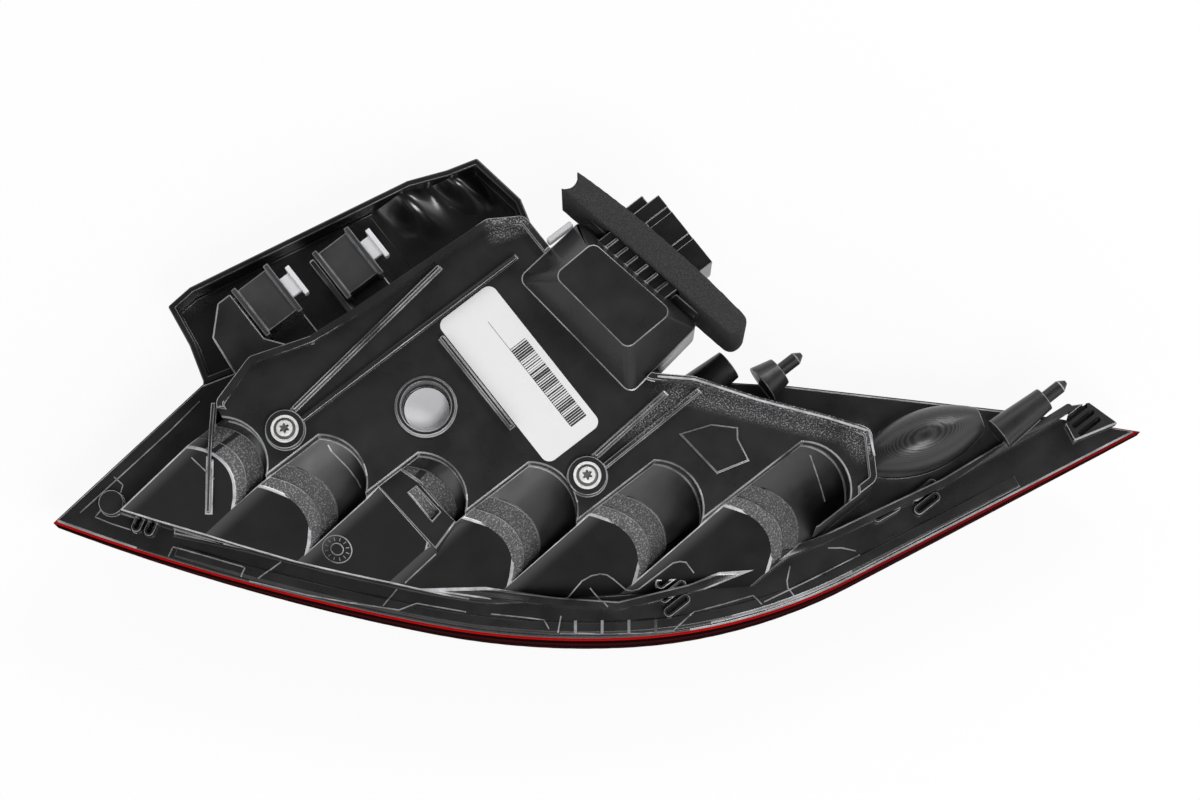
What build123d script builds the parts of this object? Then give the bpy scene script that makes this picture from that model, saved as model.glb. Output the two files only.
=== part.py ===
"""Tail light cluster of a family car, left side, lying on its lens with the back of the housing up.

Millimetres. +Z is up, away from the lens. +X is the way the lamp is pushed home into the car body, so the
pins, the clips and the plug all point along +X. The origin is the bottom centre of the whole box.
"""
import os
from math import atan2, cos, degrees, hypot, radians, sin

from build123d import *

# Plan centre of the whole box, taken off every piece so the box is centred on the origin
CENTRE = (2.6, 0.4)

# Lens: a leaf shaped bowl, its lower edge a chain of tangent arcs and a straight run
LENS_DEPTH = 46.0
LENS_WALL = 3.0
LENS_EDGE_ROUND = 15.0
LENS_BOW_RADIUS = 1500.0
LENS_BOW_TURN = -33.0
LENS_TIP = (-199.3, 109.0)
LENS_HEADING = -58.0
LENS_ARC_RADII = (1078.0, 370.0, 245.0)
LENS_ARC_SWEEPS = (9.1, 13.6, 24.6)
LENS_RUN = 143.2
LENS_BACK_EDGE = [(163, -110), (95, -43), (62, -14), (50, -2), (49, 84), (34, 95), (-38, 100), (-62, 104),
                  (-110, 118)]

# Housing shell, its heights measured up from the rim of the lens
RIM_Z = LENS_DEPTH
WALL = 2.5
FLANGE_THICK = 3.0
FLANGE_INSET = 1.0
FLANGE_TOP = RIM_Z + FLANGE_THICK
FOOT_INSET = 13.0
DECK_Z = RIM_Z + 42.0
DECK_OUTLINE = [(-112, 99), (-88, 106), (-62, 97), (-40, 95), (30, 91), (44, 82), (44, -6), (58, -19),
                (74, -43), (93, -68), (104, -84), (92, -103), (60, -103), (-20, -72), (-70, -35), (-118, 60)]
DECK_CORNER = 5.0
DECK_PLATE = [(38, -35), (51, -40), (59, -48), (56, -52), (54, -62), (40, -58)]
DECK_PLATE_HEIGHT = 1.2
RIM_WIDTH = 3.0
RIM_HEIGHT = 3.5
RIB_WIDTH = 2.0

# Chambers: half barrels side by side, each cut at its foot by a sloping face
CHAMBER_PITCH = 32.6
CHAMBER_FIRST_Y = 93.1
CHAMBER_TOP_Z = RIM_Z + 36.0
CHAMBER_SLOPE = 0.58
CHAMBER_SAGITTA = 5.0
CHAMBER_FOOT_X = (-133.0, -119.0, -78.0, -58.0, -14.0, 34.0, 82.0)
CHAMBER_END_X = (-106.0, -77.0, -48.0, -13.0, 30.0, 85.0)
CHAMBERS = len(CHAMBER_END_X)
CHAMBER_END_BULGE = 8.0
CHAMBER_BANDS = (7.0, 17.0)
CHAMBER_STEPS = (0.0, 0.9, 1.4)
CHAMBER_LEAD = 70.0
RIDGE_LINE = [(-112.3, 99.9), (-142.6, 65.9)]
RIDGE_WIDTH = 2.2
RIDGE_HEIGHT = 1.6

# Bracket with a slot on the foot of one chamber
BRACKET_CHAMBER = 2
BRACKET_OUTLINE = [(-78, 28), (-66, 29), (-63, 19), (-62, 2), (-61, -5), (-75, -9)]
BRACKET_SLOT = [(-69.5, 18), (-65, 18), (-63.8, 3), (-69, 2)]
BRACKET_OVER = 0.8
BRACKET_THICK = 14.0
BRACKET_SLOT_DEPTH = 5.0

# Rail round the foot of the chambers, over the flange, and a low strip outside it
RAIL_LINE = [(-159, 72), (-128, 35), (-92, -10), (-46, -56), (-26, -74), (3, -87), (34, -97), (62, -106),
             (120, -119), (184, -127)]
RAIL_WIDTH = 3.5
RAIL_HEIGHT = 6.0
STRIP_INSET = 3.0
STRIP_WIDTH = 5.0
STRIP_HEIGHT = 1.2
STRIP_LEAD = 3.0
STRIP_TAIL = 60.0

# Oval loops moulded on the flange, and the slotted plate at the long tip
LOOP_SIZE = (13.5, 4.4)
LOOP_WALL = 1.2
LOOP_HEIGHT = 5.0
LOOPS = [(-167.2, 85.7, 28), (-163.9, 80.8, 28), (-1, -77.8, 0), (-3.5, -83.7, 0), (-5.9, -89.6, 0),
         (111, -116.3, 0), (108.5, -121.8, 0), (92, -113.8, -8)]
HOOK_PLACE = (-173.5, 99.0)
HOOK_RADIUS = 5.5
TIP_PLATE = [(178.7, -132), (186, -127), (193, -131), (197, -145.8), (177.1, -140.3)]
TIP_PLATE_HEIGHT = 5.0
TIP_SLOTS = [(185.8, -130.8), (186.2, -134.9), (186.3, -139.1)]
TIP_SLOT_SIZE = (12.0, 2.4)

# Screws
SCREW_PLACES = [(-95.0, 71.0), (-5.0, -25.0)]
SCREW_BOSS_RADIUS = 8.5
SCREW_BOSS_HEIGHT = 4.0
SCREW_BOSS_ROOT = 8.0
SCREW_SHANK_RADIUS = 2.5
SCREW_SHANK_LENGTH = 14.0
SCREW_FLANGE_RADIUS = 6.0
SCREW_FLANGE_THICK = 1.2
SCREW_HEAD_RADIUS = 4.3
SCREW_HEAD_HEIGHT = 2.6
SCREW_SOCKET_RADIUS = 2.4
SCREW_SOCKET_DEPTH = 1.8

# Breather vent: a well in the deck with a membrane at its bottom
VENT_PLACE = (-41.0, 42.0)
VENT_COLLAR_RADIUS = 13.0
VENT_COLLAR_BORE = 10.8
VENT_COLLAR_HEIGHT = 1.5
VENT_WELL = 9.0
VENT_HOLE_RADIUS = 3.0
MEMBRANE_RADIUS = 9.8
MEMBRANE_THICK = 0.6

# Label
LABEL_CENTRE = (-0.5, 28.8)
LABEL_LENGTH = 78.5
LABEL_WIDTH = 29.5
LABEL_CORNER = 4.0
LABEL_THICK = 0.3
LABEL_GAP = 1.0

# Ribs on the deck: one past the label's end, one slanting to the rim, one beside the label, two at a screw
RIB_LABEL_Y = LABEL_CENTRE[1] + LABEL_LENGTH / 2 + LABEL_GAP + RIB_WIDTH / 2
RIB_BESIDE_X = LABEL_CENTRE[0] - LABEL_WIDTH / 2 - LABEL_GAP - RIB_WIDTH / 2
DECK_RIBS = [((-87, RIB_LABEL_Y + 6), (1, RIB_LABEL_Y + 17)), ((-87, RIB_LABEL_Y), (30, RIB_LABEL_Y)),
             ((RIB_BESIDE_X, 62), (RIB_BESIDE_X, 12)), ((3, -20), (44, -17)), ((3, -26), (56, -25))]

# Duct that carries the plug out to the gasket: a tapered hood over the deck edge
DUCT_FOOT = [(25, 62), (62, 66), (74.5, -2), (32, -8)]
DUCT_TOP = [(36, 51), (58.5, 52), (66.5, 7), (41, 6)]
DUCT_CORNER = 4.0
DUCT_TOP_Z = DECK_Z + 16.0
DUCT_UNDER_Z = RIM_Z + 14.0
PORT_PLATE_LENGTH = 62.0
COMB_OUT = 3.5
COMB_COUNT = 6
COMB_SPAN = 34.0
COMB_WIDTH = 1.6
COMB_ROOT = 7.0
COMB_HEIGHT = 2.0

# Light grey seal strip along the left side of the duct
SEAL_SIZE = (13.0, 2.6, 7.0)
SEAL_PLACE = (51.0, 64.9)

# Foam gasket and plug
GASKET_THICK = 13.0
GASKET_LENGTH = 101.0
GASKET_SHIFT = -1.0
GASKET_CROWN = 2.5
GASKET_BITE = 4.0
GASKET_ROUND = 0.38 * GASKET_THICK
GASKET_BOTTOM_Z = RIM_Z + 8.0
GASKET_TOP_Z = RIM_Z + 52.0
GASKET_CLEARANCE = 0.5
PLUG_X = (60.0, 95.0)
PLUG_Y = (15.0, 53.0)
PLUG_BOTTOM_Z = RIM_Z + 20.0
PLUG_TOP_Z = RIM_Z + 48.0
PLUG_WALL = 2.0
PLUG_FLOOR = 3.0
PLUG_RAIL = (16.0, 5.0, 18.0)
PLUG_RAIL_BACK = 5.0
PLUG_GROOVES = (30.0, 45.0)
PLUG_GROOVE_SIZE = (12.0, 3.0, 1.0)
PIN_COUNT = 6
PIN_SIZE = 1.5
PIN_OUT = 9.0
PIN_IN = 6.0

# Trim tray beside the housing
TRAY_OUTER = [(53, 98), (49, 125), (35, 129), (18, 136), (-88, 157), (-101, 156), (-104, 136), (-109, 119)]
TRAY_FLOOR_Z = RIM_Z - 18.0
TRAY_RIM_Z = RIM_Z - 1.0
TRAY_WALL = 3.0

# Spring clips, each on an arm that reaches out from the housing over the tray
CLIP_PLACES = [(-66.0, 125.0), (-28.0, 116.5)]
CLIP_HOLDER = (20.0, 23.0, 10.0)
CLIP_BASE_Z = RIM_Z + 16.0
CLIP_PLATE = 2.4
CLIP_PLATE_OVER = 1.5
CLIP_SLOT = (16.0, 14.0, 3.0)
CLIP_TONGUE_OUT = 5.0
CLIP_TONGUE_SIDE = 2.0
CLIP_HEAD = (2.2, 15.0, 5.0)
ARM_OUTLINES = [[(-94, 128), (-80, 137), (-56, 137), (-56, 99), (-88, 97), (-97, 104)],
                [(-38, 127), (-18, 127), (-18, 92), (-38, 92)]]
ARM_LOW = 10.0
ARM_SHIELDS = [[(-95, 126), (-84, 137), (-77, 137), (-77, 112), (-71, 104), (-88, 101), (-97, 106)],
               [(-41, 128), (-38.5, 128), (-38.5, 93), (-41, 93)]]
ARM_SHIELD_OVER = (12.0, 8.0)

# Locating pins
LOCATOR_PLACES = [(84.0, -36.0), (152.0, -117.5)]
LOCATOR_Z = RIM_Z + 10.0
LOCATOR_BOSS_RADII = [(9.0, 6.5), (7.5, 5.5)]
LOCATOR_BOSS_LENGTHS = (10.0, 26.0)
LOCATOR_PIN_RADIUS = 3.0
LOCATOR_PIN_LENGTH = 9.0
LOCATOR_TIP = 3.0
LOCATOR_TIP_RADIUS = 1.0
LOCATOR_FOOT = 3.0

# Plain stub boss beside the inner pin
STUB_PLACE = (55.0, -20.0)
STUB_RADII = (8.5, 7.0)
STUB_LENGTH = 23.0

# Bulge over the side marker: a lemon shape lying on the flange
BULGE_PLACE = (124.0, -99.0)
BULGE_TURN = -17.0
BULGE_HALF = 27.0
BULGE_RADIUS = 13.0
BULGE_END = 5.0
BULGE_Z = RIM_Z + 12.0

# Inside
BEZEL_INSET = 11.0
BEZEL_Z = RIM_Z - 14.0
BEZEL_THICK = 2.0
BEZEL_RIM = 2.0
CUP_OFFSET_X = 24.0
CUP_MOUTH = 25.0
CUP_NECK = 10.0
CUP_HEIGHT = 10.0
CUP_WALL = 1.2
CUP_LIP = 2.0
BOARD_THICK = 1.6
BOARD_PAD = 16.0
BOARD_LINK_WIDTH = 6.0
LED_SIZE = 3.5
LED_HEIGHT = 1.2
GUIDE_SIZE = 6.0
GUIDE_INSET = 20.0
GUIDE_LEAD = 4.0
GUIDE_TAIL = 90.0
DRIVER_SIZE = (18.0, 36.0)
DRIVER_GAP = 1.0

# Cuts run past the faces they open by this much
PAST = 1.0
FAR = 1000.0
LOW = (Align.CENTER, Align.CENTER, Align.MIN)


def polygon(points, corner=0.0):
    """A flat face from corner points, its corners rounded when a radius is given."""
    face = make_face(Polyline(*points, close=True))
    if corner:
        face = fillet(face.vertices(), corner)
    return face


def prism(face, z, height):
    """A flat face raised to height z and given a thickness."""
    return Pos(0, 0, z) * extrude(face, height)


def lens_curve(inset, lead=0.0, tail=0.0):
    """The lower edge of the lens moved inward: tangent arcs and a last straight run."""
    turn = LENS_HEADING - 90
    along = Vector(cos(radians(turn)), sin(radians(turn)))
    centre = Vector(*LENS_TIP) - LENS_ARC_RADII[0] * along
    radius = LENS_ARC_RADII[0]
    chain = []
    for next_radius, sweep in zip(LENS_ARC_RADII, LENS_ARC_SWEEPS):
        centre += (radius - next_radius) * along
        radius = next_radius
        chain.append(CenterArc(centre, radius - inset, turn + lead, sweep - lead))
        turn += sweep
        lead = 0.0
        along = Vector(cos(radians(turn)), sin(radians(turn)))
    end = chain[-1] @ 1 + (LENS_RUN - tail) * Vector(-along.Y, along.X)
    return Curve() + chain + Line(chain[-1] @ 1, end)


def lens_outline(inset=0.0):
    """The whole leaf outline of the lens, moved inward."""
    curve = lens_curve(0)
    back = Polyline(curve @ 1, *LENS_BACK_EDGE, curve @ 0)
    face = make_face(curve + back)
    if inset:
        face = offset(face, amount=-inset, kind=Kind.INTERSECTION)
    return face


def curve_band(inset, width, lead, tail):
    """A flat strip that follows the lower edge of the lens."""
    near = lens_curve(inset, lead, tail)
    far = lens_curve(inset + width, lead, tail)
    return make_face(near + far + Line(near @ 0, far @ 0) + Line(near @ 1, far @ 1))


def lens_form(inset):
    """The bowl of the lens as a solid, moved inward on all sides but the open one."""
    height = LENS_DEPTH + (PAST if inset else 0.0)
    body = extrude(lens_outline(inset), height)
    drum = Cylinder(LENS_BOW_RADIUS - inset, FAR, rotation=(90, 0, 0))
    drum = Pos(0, 0, LENS_BOW_RADIUS) * Rot(0, 0, LENS_BOW_TURN) * drum
    body = body & drum
    front = body.faces().sort_by(Axis.Z)[0]
    return fillet(front.edges(), LENS_EDGE_ROUND - inset)


def outer_lens():
    """Red lens: a thin bowl, open to the housing."""
    return lens_form(0) - lens_form(LENS_WALL)


def chamber_left(i):
    """Y of the ridge on the left of chamber i."""
    return CHAMBER_FIRST_Y - i * CHAMBER_PITCH


def chamber_drop(i):
    """How far chamber i falls from its left edge to its right edge, so neighbouring slopes meet."""
    return CHAMBER_SLOPE * (CHAMBER_FOOT_X[i + 1] - CHAMBER_FOOT_X[i])


def slope_above(i, lower, shift=0.0):
    """Block of everything above the sloping face of chamber i, lowered and moved along X."""
    fall = chamber_drop(i) / CHAMBER_PITCH
    normal = Vector(-CHAMBER_SLOPE, -fall, 1.0)
    foot = (CHAMBER_FOOT_X[i] + shift, chamber_left(i), CHAMBER_TOP_Z - lower * normal.length)
    plane = Plane(origin=foot, x_dir=Vector(1, 0, CHAMBER_SLOPE), z_dir=normal)
    return plane * Box(FAR, FAR, FAR, align=LOW)


def barrel_face(i, lower, base):
    """Cross section of chamber i: upright sides under a rounded, falling top."""
    y_left = chamber_left(i)
    y_right = chamber_left(i + 1)
    z_left = CHAMBER_TOP_Z - lower
    z_right = z_left - chamber_drop(i)
    z_mid = (z_left + z_right) / 2 + CHAMBER_SAGITTA
    top = ThreePointArc((0, y_left, z_left), (0, (y_left + y_right) / 2, z_mid), (0, y_right, z_right))
    sides = Polyline((0, y_right, z_right), (0, y_right, base), (0, y_left, base), (0, y_left, z_left))
    return make_face(top + sides)


def barrel(face, x0, x1):
    """Bar along X with the given cross section."""
    return Pos(x0, 0, 0) * extrude(face, x1 - x0, dir=(1, 0, 0))


def chamber(i):
    """One chamber: the barrel and two raised bands at its foot, all cut by the sloping face."""
    x0 = CHAMBER_FOOT_X[i] - CHAMBER_LEAD
    x1 = CHAMBER_END_X[i] + WALL
    body = barrel(barrel_face(i, CHAMBER_STEPS[-1], RIM_Z), x0, x1)
    for band, step in zip(CHAMBER_BANDS, CHAMBER_STEPS):
        body += barrel(barrel_face(i, step, RIM_Z), x0, x1) & slope_above(i, 0, band)
    return body - slope_above(i, 0)


def chamber_hollow(i):
    """The hollow under one chamber, open below and joined to the hollow of the next."""
    x0 = CHAMBER_FOOT_X[i] - CHAMBER_LEAD
    x1 = CHAMBER_END_X[i] + 3 * WALL
    face = offset(barrel_face(i, CHAMBER_STEPS[-1], RIM_Z - 2 * WALL), amount=-WALL, kind=Kind.INTERSECTION)
    room = barrel(face, x0, x1)
    if i + 1 < CHAMBERS:
        z_top = CHAMBER_TOP_Z - chamber_drop(i) - 3 * WALL
        y_wall = chamber_left(i + 1)
        room += Pos(x0, y_wall, RIM_Z - WALL) * Box(
            x1 - x0, 4 * WALL, z_top - RIM_Z + WALL, align=(Align.MIN, Align.CENTER, Align.MIN))
        room -= slope_above(i + 1, WALL)
    return room - slope_above(i, WALL)


def chamber_bay(i, grow=0.0):
    """Flat outline of the bay that chamber i takes out of the deck."""
    y_left = chamber_left(i) + grow
    y_right = chamber_left(i + 1) - grow
    x_end = CHAMBER_END_X[i] + grow
    x_side = x_end - CHAMBER_END_BULGE
    end = ThreePointArc((x_side, y_left), (x_end, (y_left + y_right) / 2), (x_side, y_right))
    return make_face(end + Polyline((x_side, y_right), (-FAR, y_right), (-FAR, y_left), (x_side, y_left)))


def deck_block(inset):
    """The high flat part of the housing with the chamber bays taken out."""
    face = polygon(DECK_OUTLINE, DECK_CORNER)
    if inset:
        face = offset(face, amount=-inset, kind=Kind.INTERSECTION)
    base = RIM_Z - (2 * PAST if inset else 0)
    block = prism(face, base, DECK_Z - inset - base)
    for i in range(CHAMBERS):
        block -= prism(chamber_bay(i, inset), base - PAST, FAR)
    return block


def duct(inset):
    """Hood over the deck edge: an upright box under a tapered top, moved inward."""
    foot = polygon(DUCT_FOOT, DUCT_CORNER)
    top = polygon(DUCT_TOP, DUCT_CORNER)
    if inset:
        foot = offset(foot, amount=-inset)
        top = offset(top, amount=-inset)
    box = prism(foot, DUCT_UNDER_Z + inset, DECK_Z - DUCT_UNDER_Z - inset)
    hood = loft([Pos(0, 0, DECK_Z) * foot, Pos(0, 0, DUCT_TOP_Z - inset) * top], ruled=True)
    return box + hood


def port():
    """Place of the duct end: its X points out of the duct, its Y runs along the end."""
    left = DUCT_FOOT[1]
    right = DUCT_FOOT[2]
    turn = degrees(atan2(left[1] - right[1], left[0] - right[0])) - 90
    return Pos((left[0] + right[0]) / 2, (left[1] + right[1]) / 2, 0) * Rot(0, 0, turn)


def comb():
    """Plate that carries the gasket on the duct end, and a row of ribs above the plug."""
    high = DECK_Z - DUCT_UNDER_Z
    out = (Align.MIN, Align.CENTER, Align.MIN)
    shape = port() * Pos(-PAST, 0, DUCT_UNDER_Z) * Box(COMB_OUT + PAST, PORT_PLATE_LENGTH, high, align=out)
    for i in range(COMB_COUNT):
        y = (i + 0.5) * COMB_SPAN / COMB_COUNT - COMB_SPAN / 2 + sum(PLUG_Y) / 2
        x = PLUG_X[0]
        place = Pos(x, y, PLUG_TOP_Z - PAST)
        shape += place * Box(COMB_ROOT + 2 * COMB_OUT, COMB_WIDTH, COMB_HEIGHT + PAST, align=out)
    return shape - gasket_block()


def plug_room(grow=0.0):
    """The space that the plug body fills, from inside the duct to its open end."""
    length = PLUG_X[1] - PLUG_X[0]
    depth = PLUG_Y[1] - PLUG_Y[0] + 2 * grow
    height = PLUG_TOP_Z - PLUG_BOTTOM_Z + 2 * grow
    place = Pos(PLUG_X[0], sum(PLUG_Y) / 2, (PLUG_TOP_Z + PLUG_BOTTOM_Z) / 2)
    return place * Box(length, depth, height, align=(Align.MIN, Align.CENTER, Align.CENTER))


def plug_rail(grow=0.0):
    """The rail beside the plug that guides the loom's connector."""
    place = Pos(PLUG_X[1] - PLUG_RAIL_BACK, PLUG_Y[1] - PAST - grow, (PLUG_TOP_Z + PLUG_BOTTOM_Z) / 2)
    size = (PLUG_RAIL[0] + grow, PLUG_RAIL[1] + PAST + 2 * grow, PLUG_RAIL[2] + 2 * grow)
    return place * Box(*size, align=(Align.MAX, Align.MIN, Align.CENTER))


def rib(start, end, z, width, height):
    """A straight upright rib between two plan points."""
    dx = end[0] - start[0]
    dy = end[1] - start[1]
    place = Pos(start[0], start[1], z) * Rot(0, 0, degrees(atan2(dy, dx)))
    return place * Box(hypot(dx, dy), width, height, align=(Align.MIN, Align.CENTER, Align.MIN))


def disc(place, z, radius, height):
    """An upright cylinder standing at height z."""
    return Pos(place[0], place[1], z) * Cylinder(radius, height, align=LOW)


def bulge(inset):
    """Bulge over the side marker: a lemon shape with a straight foot, moved inward."""
    half = BULGE_HALF - inset
    radius = BULGE_RADIUS - inset
    end = BULGE_END - inset
    bow = ThreePointArc((-half, end), (0, radius), (half, end))
    side = make_face(bow + Polyline((half, end), (half, 0), (-half, 0), (-half, end)))
    plan = side + mirror(side, Plane.XZ)
    bottom = RIM_Z - (2 * PAST if inset else 0)
    lemon = revolve(side, Axis.X)
    place = Pos(BULGE_PLACE[0], BULGE_PLACE[1], BULGE_Z) * Rot(0, 0, BULGE_TURN)
    shape = place * (lemon + extrude(plan, bottom - BULGE_Z))
    below = Box(FAR, FAR, FAR, align=(Align.CENTER, Align.CENTER, Align.MAX))
    return shape - Pos(0, 0, bottom) * below


def locator(i):
    """Locating pin on its boss, pointing along +X, with a plain tapered tip."""
    x, y = LOCATOR_PLACES[i]
    r_big, r_small = LOCATOR_BOSS_RADII[i]
    length = LOCATOR_BOSS_LENGTHS[i]
    axis = Pos(x, y, LOCATOR_Z) * Rot(0, 90, 0)
    boss = axis * Cone(r_big, r_small, length, align=LOW)
    pin = axis * Pos(0, 0, length) * Cylinder(LOCATOR_PIN_RADIUS, LOCATOR_PIN_LENGTH, align=LOW)
    tip = Cone(LOCATOR_PIN_RADIUS, LOCATOR_TIP_RADIUS, LOCATOR_TIP, align=LOW)
    foot = Pos(x, y, RIM_Z) * Box(
        length, LOCATOR_FOOT, LOCATOR_Z - RIM_Z, align=(Align.MIN, Align.CENTER, Align.MIN))
    return boss + pin + axis * Pos(0, 0, length + LOCATOR_PIN_LENGTH) * tip + foot


def stub():
    """Plain boss that stands beside the inner locating pin."""
    x, y = STUB_PLACE
    boss = Cone(*STUB_RADII, STUB_LENGTH, align=LOW)
    foot = Box(STUB_LENGTH, LOCATOR_FOOT, LOCATOR_Z - RIM_Z, align=(Align.MIN, Align.CENTER, Align.MIN))
    return Pos(x, y, LOCATOR_Z) * Rot(0, 90, 0) * boss + Pos(x, y, RIM_Z) * foot


def deck_ribs():
    """Raised rim round the deck, the straight ribs on it and a low plate."""
    face = polygon(DECK_OUTLINE, DECK_CORNER)
    ring = face - offset(face, amount=-RIM_WIDTH, kind=Kind.INTERSECTION)
    ribs = prism(ring, DECK_Z - PAST, RIM_HEIGHT + PAST)
    ribs += prism(polygon(DECK_PLATE), DECK_Z - PAST, DECK_PLATE_HEIGHT + PAST)
    for start, end in DECK_RIBS:
        ribs += rib(start, end, DECK_Z - PAST, RIB_WIDTH, RIM_HEIGHT + PAST)
    for i in range(CHAMBERS):
        ribs -= prism(chamber_bay(i, RIM_WIDTH), DECK_Z - 2 * PAST, FAR)
    return ribs - prism(polygon(DUCT_FOOT, DUCT_CORNER), DECK_Z - 2 * PAST, FAR)


def ridge():
    """Upright wall that cuts off the first chamber, a little higher than the slope beside it."""
    start, end = RIDGE_LINE
    wall = rib(start, end, RIM_Z, RIDGE_WIDTH, CHAMBER_TOP_Z - RIM_Z)
    return wall - slope_above(0, -RIDGE_HEIGHT)


def bracket():
    """Flat bracket with a slot on the foot of one chamber."""
    top = CHAMBER_TOP_Z + BRACKET_OVER
    plate = prism(polygon(BRACKET_OUTLINE), top - BRACKET_THICK, BRACKET_THICK)
    return plate - prism(polygon(BRACKET_SLOT), top - BRACKET_SLOT_DEPTH, FAR)


def flange_details():
    """Rail, strip, oval loops, hook and slotted plate moulded on the flange."""
    shape = Part()
    for start, end in zip(RAIL_LINE, RAIL_LINE[1:]):
        shape += rib(start, end, FLANGE_TOP - PAST, RAIL_WIDTH, RAIL_HEIGHT + PAST)
        shape += disc(end, FLANGE_TOP - PAST, RAIL_WIDTH / 2, RAIL_HEIGHT + PAST)
    strip = curve_band(STRIP_INSET, STRIP_WIDTH, STRIP_LEAD, STRIP_TAIL)
    shape += prism(strip, FLANGE_TOP - PAST, STRIP_HEIGHT + PAST)
    length, width = LOOP_SIZE
    loop = SlotOverall(length, width) - SlotOverall(length - 2 * LOOP_WALL, width - 2 * LOOP_WALL)
    for x, y, turn in LOOPS:
        shape += prism(Pos(x, y) * Rot(0, 0, turn) * loop, FLANGE_TOP - PAST, LOOP_HEIGHT + PAST)
    shape += disc(HOOK_PLACE, FLANGE_TOP - PAST, HOOK_RADIUS, LOOP_HEIGHT + PAST)
    shape += prism(polygon(TIP_PLATE), FLANGE_TOP - PAST, TIP_PLATE_HEIGHT + PAST)
    for place in TIP_SLOTS:
        shape -= prism(Pos(*place) * SlotOverall(*TIP_SLOT_SIZE), FLANGE_TOP + PAST, FAR)
    return shape


def clip_arms():
    """Arms that reach out from the housing over the tray and carry the spring clips."""
    shape = Part()
    for outline, shield, over in zip(ARM_OUTLINES, ARM_SHIELDS, ARM_SHIELD_OVER):
        bottom = CLIP_BASE_Z - ARM_LOW
        shape += prism(polygon(outline), bottom, ARM_LOW)
        shape += prism(polygon(shield), bottom, ARM_LOW + over)
    return shape


def rear_housing():
    """Moulded housing: stepped chambers, deck, duct and flange in one hollow piece."""
    flange = prism(lens_outline(FLANGE_INSET), RIM_Z, FLANGE_THICK)
    leaf = prism(lens_outline(FLANGE_INSET + FOOT_INSET), RIM_Z - 2 * WALL, FAR)
    body = flange + deck_block(0)
    for i in range(CHAMBERS):
        body += chamber(i) & leaf
    body += ridge() & leaf
    body += bracket()
    body += duct(0) + bulge(0) + stub() + flange_details() + clip_arms()
    hollow = deck_block(WALL)
    inner_leaf = prism(lens_outline(FLANGE_INSET + FOOT_INSET + WALL), RIM_Z - 2 * WALL, FAR)
    for i in range(CHAMBERS):
        hollow += chamber_hollow(i) & inner_leaf
    hollow += duct(WALL) + bulge(WALL)
    body -= hollow
    body += deck_ribs() + comb()
    body -= plug_room()
    for place in SCREW_PLACES:
        root = DECK_Z - WALL - SCREW_BOSS_ROOT
        top = DECK_Z + SCREW_BOSS_HEIGHT
        body += disc(place, root, SCREW_BOSS_RADIUS, top - root)
        body -= disc(place, top - SCREW_SHANK_LENGTH, SCREW_SHANK_RADIUS, SCREW_SHANK_LENGTH + PAST)
    well = DECK_Z - VENT_WELL
    body += disc(VENT_PLACE, well - WALL, VENT_COLLAR_RADIUS, VENT_WELL + WALL + VENT_COLLAR_HEIGHT)
    body -= disc(VENT_PLACE, well, VENT_COLLAR_BORE, VENT_WELL + WALL + VENT_COLLAR_HEIGHT)
    body -= disc(VENT_PLACE, well - 2 * WALL, VENT_HOLE_RADIUS, VENT_WELL)
    for i in range(len(LOCATOR_PLACES)):
        body += locator(i)
    return body


def screw(place):
    """Flanged screw with a round socket, its shank in the boss."""
    seat = DECK_Z + SCREW_BOSS_HEIGHT
    shape = disc(place, seat - SCREW_SHANK_LENGTH, SCREW_SHANK_RADIUS, SCREW_SHANK_LENGTH)
    shape += disc(place, seat, SCREW_FLANGE_RADIUS, SCREW_FLANGE_THICK)
    shape += disc(place, seat, SCREW_HEAD_RADIUS, SCREW_HEAD_HEIGHT)
    socket = seat + SCREW_HEAD_HEIGHT - SCREW_SOCKET_DEPTH
    return shape - disc(place, socket, SCREW_SOCKET_RADIUS, SCREW_SOCKET_DEPTH + PAST)


def vent_membrane():
    """Breather membrane stuck over the vent hole."""
    return disc(VENT_PLACE, DECK_Z - VENT_WELL, MEMBRANE_RADIUS, MEMBRANE_THICK)


def label():
    """Plain sticker on the deck."""
    sheet = RectangleRounded(LABEL_WIDTH, LABEL_LENGTH, LABEL_CORNER)
    return prism(Pos(*LABEL_CENTRE) * sheet, DECK_Z, LABEL_THICK)


def gasket_block():
    """The foam slab without its hole: crowned outside, hollowed at one end, rounded at the other."""
    half = GASKET_LENGTH / 2
    edge = GASKET_THICK - GASKET_CROWN
    crown = ThreePointArc((edge, -half), (GASKET_THICK, 0), (edge, half))
    bite = ThreePointArc((edge, half), (edge / 2, half - GASKET_BITE), (0, half))
    face = make_face(crown + bite + Polyline((0, half), (0, -half), (edge, -half)))
    face = fillet(face.vertices().sort_by(Axis.Y)[:2], GASKET_ROUND)
    height = GASKET_TOP_Z - GASKET_BOTTOM_Z
    return port() * Pos(COMB_OUT, GASKET_SHIFT, GASKET_BOTTOM_Z) * extrude(face, height)


def foam_gasket():
    """Foam slab round the plug, pressed against the body panel."""
    return gasket_block() - plug_room(GASKET_CLEARANCE) - plug_rail(GASKET_CLEARANCE)


def plug_body():
    """Socket of the plug: a box open at its far end, with a guide rail and grooves on top."""
    room = Pos(PLUG_FLOOR, 0, 0) * plug_room(-PLUG_WALL)
    shape = plug_room() + plug_rail() - room - plug_pins()
    for y in PLUG_GROOVES:
        shape -= Pos(PLUG_X[1], y, PLUG_TOP_Z) * Box(
            *PLUG_GROOVE_SIZE, align=(Align.MAX, Align.CENTER, Align.MAX))
    return shape


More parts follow.
